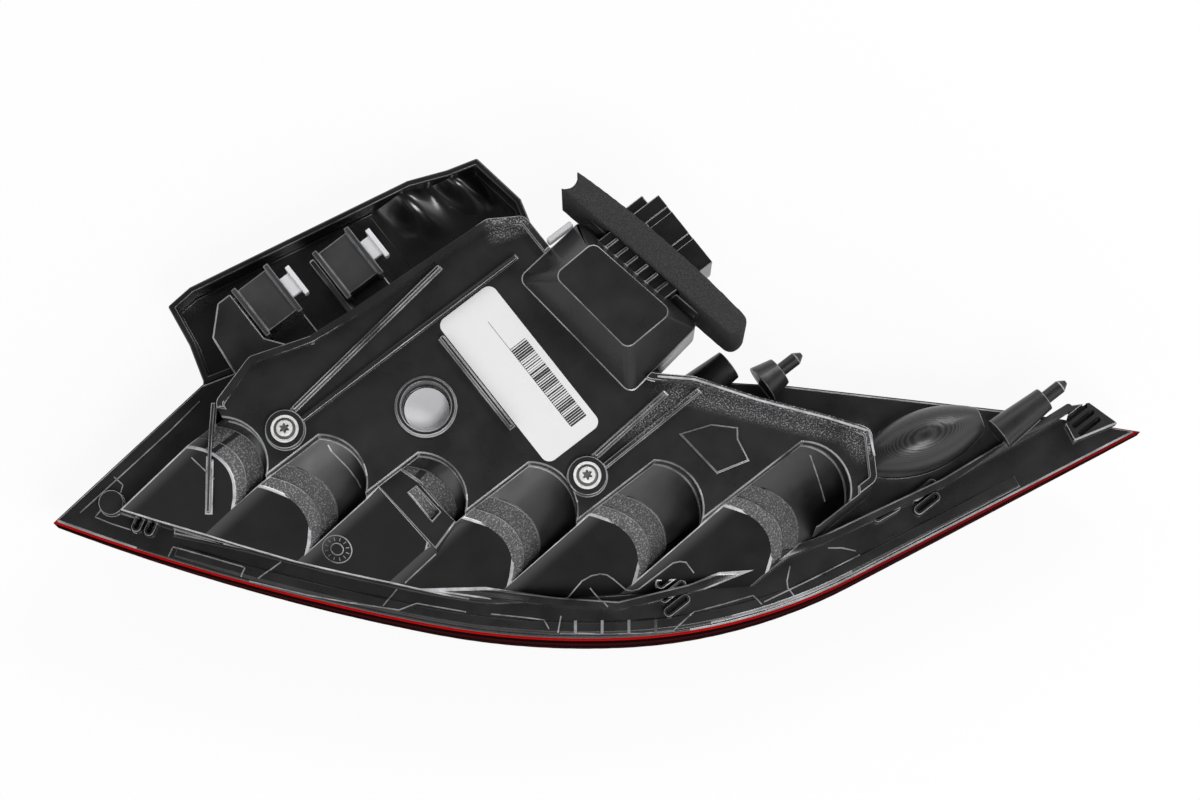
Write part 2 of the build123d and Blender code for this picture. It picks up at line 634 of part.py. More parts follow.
def plug_pins():
    """Row of contact pins through the floor of the plug."""
    pins = []
    for i in range(PIN_COUNT):
        y = PLUG_Y[0] + (i + 0.5) * (PLUG_Y[1] - PLUG_Y[0]) / PIN_COUNT
        place = Pos(PLUG_X[0] - PIN_IN, y, (PLUG_BOTTOM_Z + PLUG_TOP_Z) / 2)
        length = PIN_IN + PLUG_FLOOR + PIN_OUT
        pins.append(place * Box(length, PIN_SIZE, PIN_SIZE, align=(Align.MIN, Align.CENTER, Align.CENTER)))
    return Part() + pins


def seal_strip():
    """Light grey strip pressed on the left side of the duct."""
    block = Pos(*SEAL_PLACE, DECK_Z) * Box(*SEAL_SIZE, align=(Align.CENTER, Align.MIN, Align.MIN))
    return block - duct(0)


def tray_face(inset=0.0):
    """Flat outline of the trim tray between the lens and the outer edge."""
    inner = LENS_BACK_EDGE[:-6:-1]
    face = polygon(TRAY_OUTER + inner) - lens_outline()
    if inset:
        face = offset(face, amount=-inset, kind=Kind.INTERSECTION)
    return face


def trim_tray():
    """Trim tray with an upright rim all round."""
    tray = prism(tray_face(), TRAY_FLOOR_Z, TRAY_RIM_Z - TRAY_FLOOR_Z)
    return tray - prism(tray_face(TRAY_WALL), TRAY_FLOOR_Z + TRAY_WALL, TRAY_RIM_Z)


def clip_holder(place):
    """Block that holds a spring clip on its arm: end plates and a slot from the front."""
    length, width, height = CLIP_HOLDER
    base = Pos(place[0], place[1], CLIP_BASE_Z)
    block = base * Box(length, width, height, align=LOW)
    plate = Box(CLIP_PLATE, width + 2 * CLIP_PLATE_OVER, height + CLIP_PLATE_OVER, align=LOW)
    for side in (-1, 1):
        block += base * Pos(side * (length - CLIP_PLATE) / 2, 0, 0) * plate
    front = Pos((length - CLIP_SLOT[0]) / 2, 0, (height - CLIP_SLOT[2]) / 2)
    return block - base * front * Box(*CLIP_SLOT, align=LOW)


def clip_insert(place):
    """Spring clip: a tongue in the slot and a cross head outside."""
    front = Pos(place[0] + CLIP_HOLDER[0] / 2, place[1], CLIP_BASE_Z + CLIP_HOLDER[2] / 2)
    tongue = front * Pos(CLIP_TONGUE_OUT, 0, 0) * Box(
        CLIP_SLOT[0] + CLIP_TONGUE_OUT, CLIP_SLOT[1] - 2 * CLIP_TONGUE_SIDE, CLIP_SLOT[2],
        align=(Align.MAX, Align.CENTER, Align.CENTER))
    head = front * Pos(CLIP_TONGUE_OUT, 0, 0) * Box(*CLIP_HEAD, align=(Align.MIN, Align.CENTER, Align.CENTER))
    return tongue + head


def cup_places():
    """Plan centres of the reflector cups, one under each chamber but the first."""
    middle = CHAMBER_PITCH / 2
    return [(CHAMBER_FOOT_X[i] + CUP_OFFSET_X, chamber_left(i) - middle) for i in range(1, CHAMBERS)]


def inner_bezel():
    """Bezel under the flange with a window for each reflector cup."""
    face = lens_outline(BEZEL_INSET)
    bezel = prism(face, BEZEL_Z, RIM_Z - BEZEL_Z)
    bezel -= prism(offset(face, amount=-BEZEL_RIM, kind=Kind.INTERSECTION), BEZEL_Z + BEZEL_THICK, RIM_Z)
    for place in cup_places():
        bezel -= prism(Pos(*place) * Rectangle(CUP_MOUTH, CUP_MOUTH), BEZEL_Z - PAST, BEZEL_THICK + 2 * PAST)
    return bezel


def reflector_cup(place):
    """Bright tapered cup with a lip that sits on the bezel and an opening for the light source."""
    taper = degrees(atan2((CUP_MOUTH - CUP_NECK) / 2, CUP_HEIGHT))
    inner = CUP_MOUTH - 2 * CUP_WALL
    cup = extrude(Rectangle(CUP_MOUTH, CUP_MOUTH), CUP_HEIGHT, taper=taper)
    cup += Box(CUP_MOUTH + 2 * CUP_LIP, CUP_MOUTH + 2 * CUP_LIP, CUP_WALL, align=LOW)
    cup -= extrude(Rectangle(inner, inner), CUP_HEIGHT + PAST, taper=taper)
    return Pos(place[0], place[1], BEZEL_Z + BEZEL_THICK) * cup


def led_board():
    """Circuit board across the cups: square pads joined by straight links."""
    places = cup_places()
    z = BEZEL_Z + BEZEL_THICK + CUP_HEIGHT
    pad = Box(BOARD_PAD, BOARD_PAD, BOARD_THICK, align=LOW)
    board = Pos(*places[0], z) * pad
    for before, here in zip(places, places[1:]):
        board += rib(before, here, z, BOARD_LINK_WIDTH, BOARD_THICK)
        board += Pos(*here, z) * pad
    return board


def led_chips():
    """One light source under the board in the neck of each cup."""
    z = BEZEL_Z + BEZEL_THICK + CUP_HEIGHT
    high = (Align.CENTER, Align.CENTER, Align.MAX)
    chips = [Pos(x, y, z) * Box(LED_SIZE, LED_SIZE, LED_HEIGHT, align=high) for x, y in cup_places()]
    return Part() + chips


def light_guide():
    """Clear bar that follows the lower edge of the lens, under the bezel."""
    band = curve_band(GUIDE_INSET, GUIDE_SIZE, GUIDE_LEAD, GUIDE_TAIL)
    return prism(band, BEZEL_Z - GUIDE_SIZE, GUIDE_SIZE)


def driver_board():
    """Driver board in the duct, soldered to the pins of the plug."""
    z = (PLUG_BOTTOM_Z + PLUG_TOP_Z) / 2 - PIN_SIZE / 2 - BOARD_THICK
    return Pos(PLUG_X[0] - DRIVER_GAP, sum(PLUG_Y) / 2, z) * Box(
        *DRIVER_SIZE, BOARD_THICK, align=(Align.MAX, Align.CENTER, Align.MIN))


def build():
    """All pieces by node name."""
    pieces = {
        "outer_lens": outer_lens(),
        "rear_housing": rear_housing(),
        "trim_tray": trim_tray(),
        "foam_gasket": foam_gasket(),
        "seal_strip": seal_strip(),
        "plug_body": plug_body(),
        "plug_pins": plug_pins(),
        "vent_membrane": vent_membrane(),
        "label": label(),
        "inner_bezel": inner_bezel(),
        "led_board": led_board(),
        "led_chips": led_chips(),
        "light_guide": light_guide(),
        "driver_board": driver_board(),
    }
    for i, place in enumerate(SCREW_PLACES):
        pieces[f"screw_{i + 1}"] = screw(place)
    for i, place in enumerate(CLIP_PLACES):
        pieces[f"clip_holder_{i + 1}"] = clip_holder(place)
        pieces[f"clip_insert_{i + 1}"] = clip_insert(place)
    for i, place in enumerate(cup_places()):
        pieces[f"reflector_cup_{i + 1}"] = reflector_cup(place)
    return {name: Pos(-CENTRE[0], -CENTRE[1], 0) * shape for name, shape in pieces.items()}


if __name__ == "__main__":
    os.makedirs("parts", exist_ok=True)
    for name, shape in build().items():
        export_step(shape, f"parts/{name}.step")
        box = shape.bounding_box()
        print(f"{name}: {len(shape.solids())} solid, {shape.volume / 1000:.1f} cm3, top at {box.max.Z:.1f}")
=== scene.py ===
# %% [markdown]
# The lamp lies on its lens with the back of the housing up. The CAD solids come in first and stay where
# they are: they are the frame that every piece here is set against. Blender works in metres. Places and
# sizes are written in the millimetres of the drawing, and spot() or MM turns them into metres.

# %% Load the frame
import math

import bmesh
import bpy
from mathutils import Matrix, Vector
from mathutils.bvhtree import BVHTree
from mathutils.geometry import delaunay_2d_cdt


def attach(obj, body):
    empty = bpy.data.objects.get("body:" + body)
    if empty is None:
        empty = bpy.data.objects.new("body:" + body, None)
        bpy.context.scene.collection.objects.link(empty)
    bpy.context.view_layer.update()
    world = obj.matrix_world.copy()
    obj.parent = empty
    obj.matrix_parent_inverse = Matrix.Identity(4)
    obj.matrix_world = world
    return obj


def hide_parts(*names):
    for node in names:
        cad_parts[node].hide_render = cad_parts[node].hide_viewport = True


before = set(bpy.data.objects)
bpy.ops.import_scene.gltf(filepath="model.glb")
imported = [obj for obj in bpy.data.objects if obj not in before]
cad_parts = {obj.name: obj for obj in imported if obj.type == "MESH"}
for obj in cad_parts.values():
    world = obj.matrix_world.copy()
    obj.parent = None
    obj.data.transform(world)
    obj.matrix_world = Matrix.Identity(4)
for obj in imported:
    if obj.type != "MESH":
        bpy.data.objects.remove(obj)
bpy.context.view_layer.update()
print("CAD nodes:", len(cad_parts))
MM = 0.001
MM_PER_METRE = 1000
CENTRE = Vector((0.0026, 0.0004, 0.0))
RIM_Z = 46.0
DECK_Z = 88.0


def spot(x, y, z):
    """A point of the drawing, in millimetres, as a place in the scene."""
    return Vector((x, y, z)) * MM - CENTRE


# %% [markdown]
# Every finish of the lamp is a small network of nodes: noise for what varies, a ramp that turns it into
# colours, bump for grain. The nodes could be wired anew for each finish. A few helpers say each step once
# instead, so that a finish reads as a short recipe. All noise reads the piece's own coordinates, so it
# stays put on it.

# %% Shader helpers
NOISE_LOW, NOISE_HIGH = 0.3, 0.7


def shader(name):
    """A new material with its Principled shader, its nodes and its links."""
    mat = bpy.data.materials.new(name)
    mat.use_nodes = True
    nodes = mat.node_tree.nodes
    return mat, nodes["Principled BSDF"], nodes, mat.node_tree.links


def noise(nodes, links, scale, detail=4.0, rough=0.55):
    """Noise on the piece's own coordinates."""
    where = nodes.new("ShaderNodeTexCoord")
    tex = nodes.new("ShaderNodeTexNoise")
    tex.inputs["Scale"].default_value = scale
    tex.inputs["Detail"].default_value = detail
    tex.inputs["Roughness"].default_value = rough
    links.new(where.outputs["Object"], tex.inputs["Vector"])
    return tex


def spread(nodes, links, source, low, high):
    """Map the usual range of a noise to low and high."""
    span = nodes.new("ShaderNodeMapRange")
    span.inputs["From Min"].default_value = NOISE_LOW
    span.inputs["From Max"].default_value = NOISE_HIGH
    span.inputs["To Min"].default_value = low
    span.inputs["To Max"].default_value = high
    links.new(source, span.inputs["Value"])
    return span.outputs["Result"]


def grain(nodes, links, bsdf, source, strength, distance):
    """Bump from a height."""
    bump = nodes.new("ShaderNodeBump")
    bump.inputs["Strength"].default_value = strength
    bump.inputs["Distance"].default_value = distance
    links.new(source, bump.inputs["Height"])
    links.new(bump.outputs["Normal"], bsdf.inputs["Normal"])


def ramp(nodes, links, source, stops):
    """Colours at places from 0 to 1."""
    node = nodes.new("ShaderNodeValToRGB")
    line = node.color_ramp
    while len(line.elements) < len(stops):
        line.elements.new(0.5)
    for element, (place, colour) in zip(line.elements, stops):
        element.position = place
        element.color = (*colour, 1)
    links.new(source, node.inputs["Fac"])
    return node


print("helpers for finishes ready")

# %% [markdown]
# Moulded black plastic is nearly black, so what we see of it is gloss: a fine grain in the mould makes the
# gloss uneven. The grain could be modelled, but it is far below a tenth of a millimetre, so bump from noise
# is the sensible way. One recipe with a few numbers serves the satin housing, the shiny tray and the clip
# blocks. The pale finishes for the rounds, lips, rims, rail and mould lines are painted highlights: their
# colour stands in for the light that these rounds catch.

# %% Plastic finishes
GRAIN_HEIGHT = 0.2 * MM
COOL = 1.03


def plastic(name, dark, light, rough, grain_scale, grain_strength, shine=0.5, drift=60.0):
    """Moulded plastic: colour and gloss drift slowly, fine grain gives the sheen."""
    mat, bsdf, nodes, links = shader(name)
    slow = noise(nodes, links, drift)
    tone = ramp(nodes, links, slow.outputs["Fac"], [(NOISE_LOW, dark), (NOISE_HIGH, light)])
    links.new(tone.outputs["Color"], bsdf.inputs["Base Color"])
    links.new(spread(nodes, links, slow.outputs["Fac"], *rough), bsdf.inputs["Roughness"])
    bsdf.inputs["Specular IOR Level"].default_value = shine
    fine = noise(nodes, links, grain_scale, 3.0)
    grain(nodes, links, bsdf, fine.outputs["Fac"], grain_strength, GRAIN_HEIGHT)
    return mat


def grey(level):
    """A neutral colour, a touch cool as black plastic is."""
    return (level, level, level * COOL)


satin_black = plastic("satin_black", grey(0.006), grey(0.013), (0.24, 0.36), 2500.0, 0.10)
gloss_black = plastic("gloss_black", grey(0.009), grey(0.018), (0.16, 0.26), 900.0, 0.04, shine=1.0)
ramp_black = plastic("ramp_black", grey(0.004), grey(0.009), (0.28, 0.40), 1500.0, 0.05, shine=0.2)
# Painted highlight: the pale colour of the rounds stands in for the light they catch.
painted_edge_highlight = plastic("painted_edge_highlight", grey(0.03), grey(0.42), (0.20, 0.32), 1800.0, 0.10, shine=0.8, drift=42.0)
# Painted highlight: the palest finish, for the rounds at the lips of the chambers and on the deck rim.
painted_lip_highlight = plastic("painted_lip_highlight", grey(0.26), grey(0.62), (0.20, 0.30), 1800.0, 0.20, shine=1.0, drift=160.0)
# Painted highlight on the mould lines: their pale colour stands in for the light they catch.
painted_line_highlight = plastic("painted_line_highlight", grey(0.08), grey(0.42), (0.22, 0.34), 1800.0, 0.10, shine=0.8, drift=120.0)
block_satin = plastic("block_satin", grey(0.034), grey(0.052), (0.24, 0.36), 1500.0, 0.15)
# Paler finishes for the rounds of the clip blocks and the tray: painted highlights.
block_edge_highlight = plastic("block_edge_highlight", grey(0.06), grey(0.22), (0.22, 0.34), 1800.0, 0.10, drift=90.0)
tray_edge_highlight = plastic("tray_edge_highlight", grey(0.015), grey(0.06), (0.15, 0.25), 1500.0, 0.05, drift=40.0)
# Paler finish for the rail and for the rounds beside the lens: a painted soft highlight.
rail_highlight = plastic("rail_highlight", grey(0.012), grey(0.040), (0.22, 0.32), 1500.0, 0.12, drift=45.0)
barrel_grey = plastic("barrel_grey", grey(0.012), grey(0.030), (0.35, 0.50), 2400.0, 0.15)
clip_white = plastic("clip_white", grey(0.74), grey(0.84), (0.35, 0.50), 1800.0, 0.10)
film_grey = plastic("film_grey", grey(0.93), grey(0.96), (0.6, 0.8), 2600.0, 0.35)
seal_grey = plastic("seal_grey", grey(0.46), grey(0.56), (0.4, 0.5), 1500.0, 0.10)
print("smooth plastics made")

# %% [markdown]
# Spark eroded steel leaves a coarse grain on the plastic that looks silvery. Seen from a step away it is a
# field of tiny bright and dark specks, each a facet that does or does not face a lamp. Colour and bump both
# follow one sharp noise here, because bump alone turns grey when the specks are smaller than a pixel, so
# the pale specks in the colour are painted glints.

# %% Grainy finishes
COARSE_HEIGHT = 0.6 * MM


def grainy(name, dark, light, speck, strength):
    """Plastic with a coarse grain: specks of the given number to the metre, the pale ones painted glints."""
    mat, bsdf, nodes, links = shader(name)
    fine = noise(nodes, links, speck, 2.0, 0.7)
    tone = ramp(nodes, links, fine.outputs["Fac"], [(0.36, dark), (0.52, dark), (0.66, light)])
    links.new(tone.outputs["Color"], bsdf.inputs["Base Color"])
    bsdf.inputs["Roughness"].default_value = 0.5
    grain(nodes, links, bsdf, fine.outputs["Fac"], strength, COARSE_HEIGHT)
    return mat


lip_grain_glints = grainy("lip_grain_glints", grey(0.060), grey(0.32), 1400.0, 0.6)
band_grain_glints = grainy("band_grain_glints", grey(0.045), grey(0.24), 1500.0, 0.8)
print("grainy plastics made")

# %% [markdown]
# The housing is smooth in the main, with patches of grain along the rim of the deck whose pale specks are
# painted glints, and a painted highlight makes each slope paler beside its ridge. The patches could be faces
# of their own, but their borders are soft. So masks in plan blend them in: turned boxes that fade at their
# sides, and a saw-tooth along the row of chambers.

# %% Housing finish
SOFT_SHARE = 0.4
RIM_SPOT, RIM_TURN = (72.0, -46.0), -52.4
GRAIN_GLINT_PATCHES = [
    (*RIM_SPOT, 52, 9, RIM_TURN), (38, -21.5, 24, 6, 3), (36, 84, 12, 8, -20), (100, -84, 12, 12, 0)]
PITCH, FIRST_Y = 32.6, 93.1
RIDGE_SHARE = 0.2


def soft_box(nodes, links, x, y, half_x, half_y, turn):
    """A mask: 1 inside a turned box of the plan, fading to 0 at its sides. Millimetres and degrees."""
    where = nodes.new("ShaderNodeTexCoord")
    place = nodes.new("ShaderNodeMapping")
    place.vector_type = "TEXTURE"
    place.inputs["Location"].default_value = spot(x, y, 0)
    place.inputs["Rotation"].default_value = (0, 0, math.radians(turn))
    links.new(where.outputs["Object"], place.inputs["Vector"])
    axes = nodes.new("ShaderNodeSeparateXYZ")
    links.new(place.outputs["Vector"], axes.inputs["Vector"])
    sides = []
    for axis, half in (("X", half_x), ("Y", half_y)):
        size = nodes.new("ShaderNodeMath")
        size.operation = "ABSOLUTE"
        links.new(axes.outputs[axis], size.inputs[0])
        fade = nodes.new("ShaderNodeMapRange")
        fade.interpolation_type = "SMOOTHSTEP"
        fade.inputs["From Min"].default_value = half * MM
        fade.inputs["From Max"].default_value = half * SOFT_SHARE * MM
        links.new(size.outputs[0], fade.inputs["Value"])
        sides.append(fade.outputs["Result"])
    both = nodes.new("ShaderNodeMath")
    both.operation = "MULTIPLY"
    links.new(sides[0], both.inputs[0])
    links.new(sides[1], both.inputs[1])
    return both.outputs[0]


def add_grain_glints(mat, dark, light, speck):
    """Add patches of grain to a smooth plastic, their pale specks painted glints."""
    nodes, links = mat.node_tree.nodes, mat.node_tree.links
    bsdf = nodes["Principled BSDF"]
    total = None
    for patch in GRAIN_GLINT_PATCHES:
        mask = soft_box(nodes, links, *patch)
        if total:
            either = nodes.new("ShaderNodeMath")
            either.operation = "MAXIMUM"
            links.new(total, either.inputs[0])
            links.new(mask, either.inputs[1])
            mask = either.outputs[0]
        total = mask
    fine = noise(nodes, links, speck, 2.0, 0.7)
    specks = ramp(nodes, links, fine.outputs["Fac"], [(0.40, dark), (0.52, dark), (0.64, light)])
    blend = nodes.new("ShaderNodeMix")
    blend.data_type = "RGBA"
    links.new(total, blend.inputs["Factor"])
    links.new(bsdf.inputs["Base Color"].links[0].from_socket, blend.inputs["A"])
    links.new(specks.outputs["Color"], blend.inputs["B"])
    links.new(blend.outputs["Result"], bsdf.inputs["Base Color"])


def paint_ridge_highlight(mat, level):
    """Paint a highlight on a slope beside the ridge on its left, where the ridge is rounded and catches the
    light.
    """
    nodes, links = mat.node_tree.nodes, mat.node_tree.links
    bsdf = nodes["Principled BSDF"]
    where = nodes.new("ShaderNodeTexCoord")
    axes = nodes.new("ShaderNodeSeparateXYZ")
    links.new(where.outputs["Object"], axes.inputs["Vector"])
    across = nodes.new("ShaderNodeMapRange")
    across.clamp = False
    across.inputs["From Min"].default_value = spot(0, FIRST_Y, 0).y
    across.inputs["From Max"].default_value = spot(0, FIRST_Y - PITCH, 0).y
    links.new(axes.outputs["Y"], across.inputs["Value"])
    part = nodes.new("ShaderNodeMath")
    part.operation = "FRACT"
    links.new(across.outputs["Result"], part.inputs[0])
    fade = nodes.new("ShaderNodeMapRange")
    fade.interpolation_type = "SMOOTHSTEP"
    fade.inputs["From Min"].default_value = RIDGE_SHARE
    fade.inputs["From Max"].default_value = 0.0
    links.new(part.outputs[0], fade.inputs["Value"])
    blend = nodes.new("ShaderNodeMix")
    blend.data_type = "RGBA"
    blend.inputs["B"].default_value = (*grey(level), 1)
    links.new(fade.outputs["Result"], blend.inputs["Factor"])
    links.new(bsdf.inputs["Base Color"].links[0].from_socket, blend.inputs["A"])
    links.new(blend.outputs["Result"], bsdf.inputs["Base Color"])


# Painted highlight on the slopes beside their ridges, and painted glints in the grain patches.
paint_ridge_highlight(ramp_black, 0.06)
housing_black = plastic("housing_black", grey(0.015), grey(0.020), (0.24, 0.36), 2500.0, 0.10)
add_grain_glints(housing_black, grey(0.034), grey(0.36), 1500.0)
print("housing finish made with", len(GRAIN_GLINT_PATCHES), "silver patches")

# %% [markdown]
# The bulge near the long tip shows the level lines that a round cutter left in its mould. They could be cut
# into the mesh, but they are only half a millimetre apart in height. A wave texture up the Z axis draws
# them in colour and bump at once.

# %% Milled finish
WAVE_LENGTH = 0.314


def milled(name, dark, light, pitch):
    """Plastic with the fine level lines that the cutter left in the mould, a pitch apart in height."""
    mat, bsdf, nodes, links = shader(name)
    where = nodes.new("ShaderNodeTexCoord")
    lines = nodes.new("ShaderNodeTexWave")
    lines.bands_direction = "Z"
    lines.inputs["Scale"].default_value = WAVE_LENGTH / pitch
    lines.inputs["Distortion"].default_value = 0.6
    links.new(where.outputs["Object"], lines.inputs["Vector"])
    tone = ramp(nodes, links, lines.outputs["Fac"], [(0.2, dark), (0.9, light)])
    links.new(tone.outputs["Color"], bsdf.inputs["Base Color"])
    bsdf.inputs["Roughness"].default_value = 0.3
    grain(nodes, links, bsdf, lines.outputs["Fac"], 0.12, GRAIN_HEIGHT)
    return mat


dome_milled = milled("dome_milled", grey(0.016), grey(0.038), 0.5 * MM)
print("milled plastic made")

# %% [markdown]
# The lens is red clear plastic, seen from behind as a narrow strip: its upright wall. The real wall shows a
# bright line at its rim, painted here as a highlight, and dark lines below, from the ribs and light guides
# behind it. Height picks the line, so a colour ramp on the height of the piece draws them all without
# modelling each rib. Towards the long tip the line is duller. Behind the line from tip to tip, where the
# lens meets the car body, it is masked black.

# %% Lens
LENS_TIP = spot(-199.3, 109.0, 0.0)
FRONT = Vector((-0.541, -0.841, 0.0))
MASK_FADE = 3.0 * MM
DIM_FROM, DIM_TO, DIM_SHARE = 0.0, 0.09, 0.55
# The brightest red, at the rim, is a painted highlight.
RED_HIGHLIGHT, RED_BAND, RED_DULL = (0.42, 0.006, 0.006), (0.036, 0.006, 0.007), (0.026, 0.006, 0.007)
RED_DARK = (0.007, 0.003, 0.003)
LENS_LINES = [
    (0.0, RED_DULL), (0.20, RED_DULL), (0.22, RED_DARK), (0.30, RED_DARK), (0.33, RED_DULL),
    (0.46, RED_DULL), (0.49, RED_DARK), (0.57, RED_DARK), (0.60, RED_BAND), (0.76, RED_BAND),
    (0.79, RED_DARK), (0.986, RED_DARK), (0.992, RED_HIGHLIGHT), (1.0, RED_HIGHLIGHT)]


def lens_red():
    """Red lens: lines by height, duller towards the long tip, black behind the line from tip to tip."""
    mat, bsdf, nodes, links = shader("lens_red")
    where = nodes.new("ShaderNodeTexCoord")
    axes = nodes.new("ShaderNodeSeparateXYZ")
    links.new(where.outputs["Object"], axes.inputs["Vector"])
    height = nodes.new("ShaderNodeMapRange")
    height.inputs["From Min"].default_value = 0.0
    height.inputs["From Max"].default_value = RIM_Z * MM
    links.new(axes.outputs["Z"], height.inputs["Value"])
    tone = ramp(nodes, links, height.outputs["Result"], LENS_LINES)
    far = nodes.new("ShaderNodeMapRange")
    far.inputs["From Min"].default_value = DIM_FROM
    far.inputs["From Max"].default_value = DIM_TO
    far.inputs["To Max"].default_value = DIM_SHARE
    links.new(axes.outputs["X"], far.inputs["Value"])
    dimmed = nodes.new("ShaderNodeMix")
    dimmed.data_type = "RGBA"
    dimmed.inputs["B"].default_value = (*RED_DULL, 1)
    links.new(far.outputs["Result"], dimmed.inputs["Factor"])
    links.new(tone.outputs["Color"], dimmed.inputs["A"])
    side = nodes.new("ShaderNodeVectorMath")
    side.operation = "DOT_PRODUCT"
    side.inputs[1].default_value = FRONT
    links.new(where.outputs["Object"], side.inputs[0])
    front = nodes.new("ShaderNodeMapRange")
    front.inputs["From Min"].default_value = LENS_TIP.dot(FRONT) - MASK_FADE
    front.inputs["From Max"].default_value = LENS_TIP.dot(FRONT)
    links.new(side.outputs["Value"], front.inputs["Value"])
    blend = nodes.new("ShaderNodeMix")
    blend.data_type = "RGBA"
    blend.inputs["A"].default_value = (*grey(0.006), 1)
    links.new(front.outputs["Result"], blend.inputs["Factor"])
    links.new(dimmed.outputs["Result"], blend.inputs["B"])
    links.new(blend.outputs["Result"], bsdf.inputs["Base Color"])
    bsdf.inputs["Roughness"].default_value = 0.25
    bsdf.inputs["Specular IOR Level"].default_value = 0.0
    fine = noise(nodes, links, 300.0)
    grain(nodes, links, bsdf, fine.outputs["Fac"], 0.02, GRAIN_HEIGHT)
    return mat


lens_mat = lens_red()
print("lens made with", len(LENS_LINES), "stops")

# %% [markdown]
# The foam of the gasket is full of open pores about half a millimetre wide, the screws are plated steel
# with an uneven gloss, and the sticker is matt paper with dark ink. Pores could be cut into the mesh at
# great cost, so cells of a Voronoi texture give them their shade and their depth. Metal and paper need no
# pattern, only one colour with an uneven gloss.

# %% Foam, metal and paper
PORES = 1900.0
PORE_DEPTH = 0.5 * MM


def foam_black():
    """Open foam: each cell is dark at its middle."""
    mat, bsdf, nodes, links = shader("foam_black")
    pores = nodes.new("ShaderNodeTexVoronoi")
    pores.inputs["Scale"].default_value = PORES
    where = nodes.new("ShaderNodeTexCoord")
    links.new(where.outputs["Object"], pores.inputs["Vector"])
    shades = [(0.0, (0.014, 0.014, 0.014)), (0.7, (0.046, 0.046, 0.047))]
    tone = ramp(nodes, links, pores.outputs["Distance"], shades)
    links.new(tone.outputs["Color"], bsdf.inputs["Base Color"])
    bsdf.inputs["Roughness"].default_value = 0.9
    bsdf.inputs["Specular IOR Level"].default_value = 0.25
    grain(nodes, links, bsdf, pores.outputs["Distance"], 0.6, PORE_DEPTH)
    return mat


def metal(name, colour, low, high):
    """Plated metal whose roughness drifts between low and high."""
    mat, bsdf, nodes, links = shader(name)
    bsdf.inputs["Base Color"].default_value = (*colour, 1)
    bsdf.inputs["Metallic"].default_value = 0.8
    mottle = noise(nodes, links, 700.0)
    links.new(spread(nodes, links, mottle.outputs["Fac"], low, high), bsdf.inputs["Roughness"])
    return mat


def plain(name, colour, rough):
    """One colour with an uneven gloss around a roughness."""
    mat, bsdf, nodes, links = shader(name)
    bsdf.inputs["Base Color"].default_value = (*colour, 1)
    mottle = noise(nodes, links, 400.0)
    links.new(spread(nodes, links, mottle.outputs["Fac"], rough * 0.8, rough * 1.2), bsdf.inputs["Roughness"])
    return mat


foam_mat = foam_black()
steel_mat = metal("zinc_steel", (0.93, 0.93, 0.92), 0.42, 0.58)
# Painted shade: the darker metal for the groove and the socket of the screws.
groove_shade_mat = metal("groove_painted_shade", (0.28, 0.28, 0.28), 0.4, 0.5)
mirror_mat = metal("cup_mirror", (0.8, 0.8, 0.82), 0.06, 0.10)
paper_mat = plain("label_paper", (0.75, 0.75, 0.75), 0.5)
ink_mat = plain("label_ink", (0.02, 0.02, 0.02), 0.5)
board_mat = plain("board_green", (0.03, 0.13, 0.06), 0.4)
chip_mat = plain("chip_yellow", (0.85, 0.7, 0.2), 0.3)
clear_mat = plain("guide_clear", (0.8, 0.8, 0.8), 0.1)
print("foam, metal and paper made")

# %% [markdown]
# Real mouldings have no sharp edges: each edge is a small round that catches the light, and on black
# plastic those bright lines draw the whole part. Modelling every round in the solid would be slow and
# brittle, so a copy of each solid is merged, cleaned of needless edges and bevelled here. Each sharp edge
# is weighed first: where the edges beside it are short, its round is smaller, and where they are tiny it
# stays sharp.

# %% Clean copies of the solids
MERGE = 0.00003
SHARP = math.radians(28)
NEEDLESS = math.radians(0.6)
ROOM = 0.00028
AMPLE = 0.0026
LEAST_SHARE = 0.42


def evaluated(obj):
    """Bake the modifiers of an object into its mesh."""
    depsgraph = bpy.context.evaluated_depsgraph_get()
    done = bpy.data.meshes.new_from_object(obj.evaluated_get(depsgraph))
    obj.modifiers.clear()
    obj.data = done
    return obj


def weigh_edges(bm):
    """Give each sharp edge a share of the rounding that fits the shortest edge beside it."""
    weight = bm.edges.layers.float.new("bevel_weight_edge")
    sharp = [e for e in bm.edges if len(e.link_faces) == 2 and e.calc_face_angle() > SHARP]
    room = {}
    for edge in sharp:
        for vert in edge.verts:
            room[vert] = min(room.get(vert, AMPLE), edge.calc_length())
    for edge in sharp:
        space = min(room[vert] for vert in edge.verts)
        edge.smooth = space > ROOM
        edge[weight] = max(LEAST_SHARE, space / AMPLE) if edge.smooth else 0.0


def clean_copy(node, mat):
    """A merged copy of a CAD node without needless edges."""
    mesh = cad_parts[node].data.copy()
    bm = bmesh.new()
    bm.from_mesh(mesh)
    bmesh.ops.remove_doubles(bm, verts=bm.verts, dist=MERGE)
    bmesh.ops.dissolve_limit(bm, angle_limit=NEEDLESS, verts=bm.verts, edges=bm.edges)
    weigh_edges(bm)
    bm.to_mesh(mesh)
    bm.free()
    obj = bpy.data.objects.new(node + "_piece", mesh)
    bpy.context.scene.collection.objects.link(obj)
    mesh.materials.clear()
    mesh.materials.append(mat)
    for poly in mesh.polygons:
        poly.use_smooth = True
    return obj


print("edges sharper than", round(math.degrees(SHARP)), "degrees are rounded")

# %% [markdown]
# A wide bevel on a winding border can fold the flat face inside it over itself, and the renderer then
# shades that face black. Narrower rounds would avoid this, but lose the bright lines. So each folded face
# is found by its triangles, which cover more than its area, and its border is filled again with a Delaunay
# net. Where border lines cross, the faces beside them are cut at the same point, so that no seam opens.

# %% Mend folded faces
CROSS_GAP = 0.0000001
WELD = 0.0000005
CROSS_SHARE = 1.002
FEW_CORNERS = 6
FLAT = math.radians(0.3)


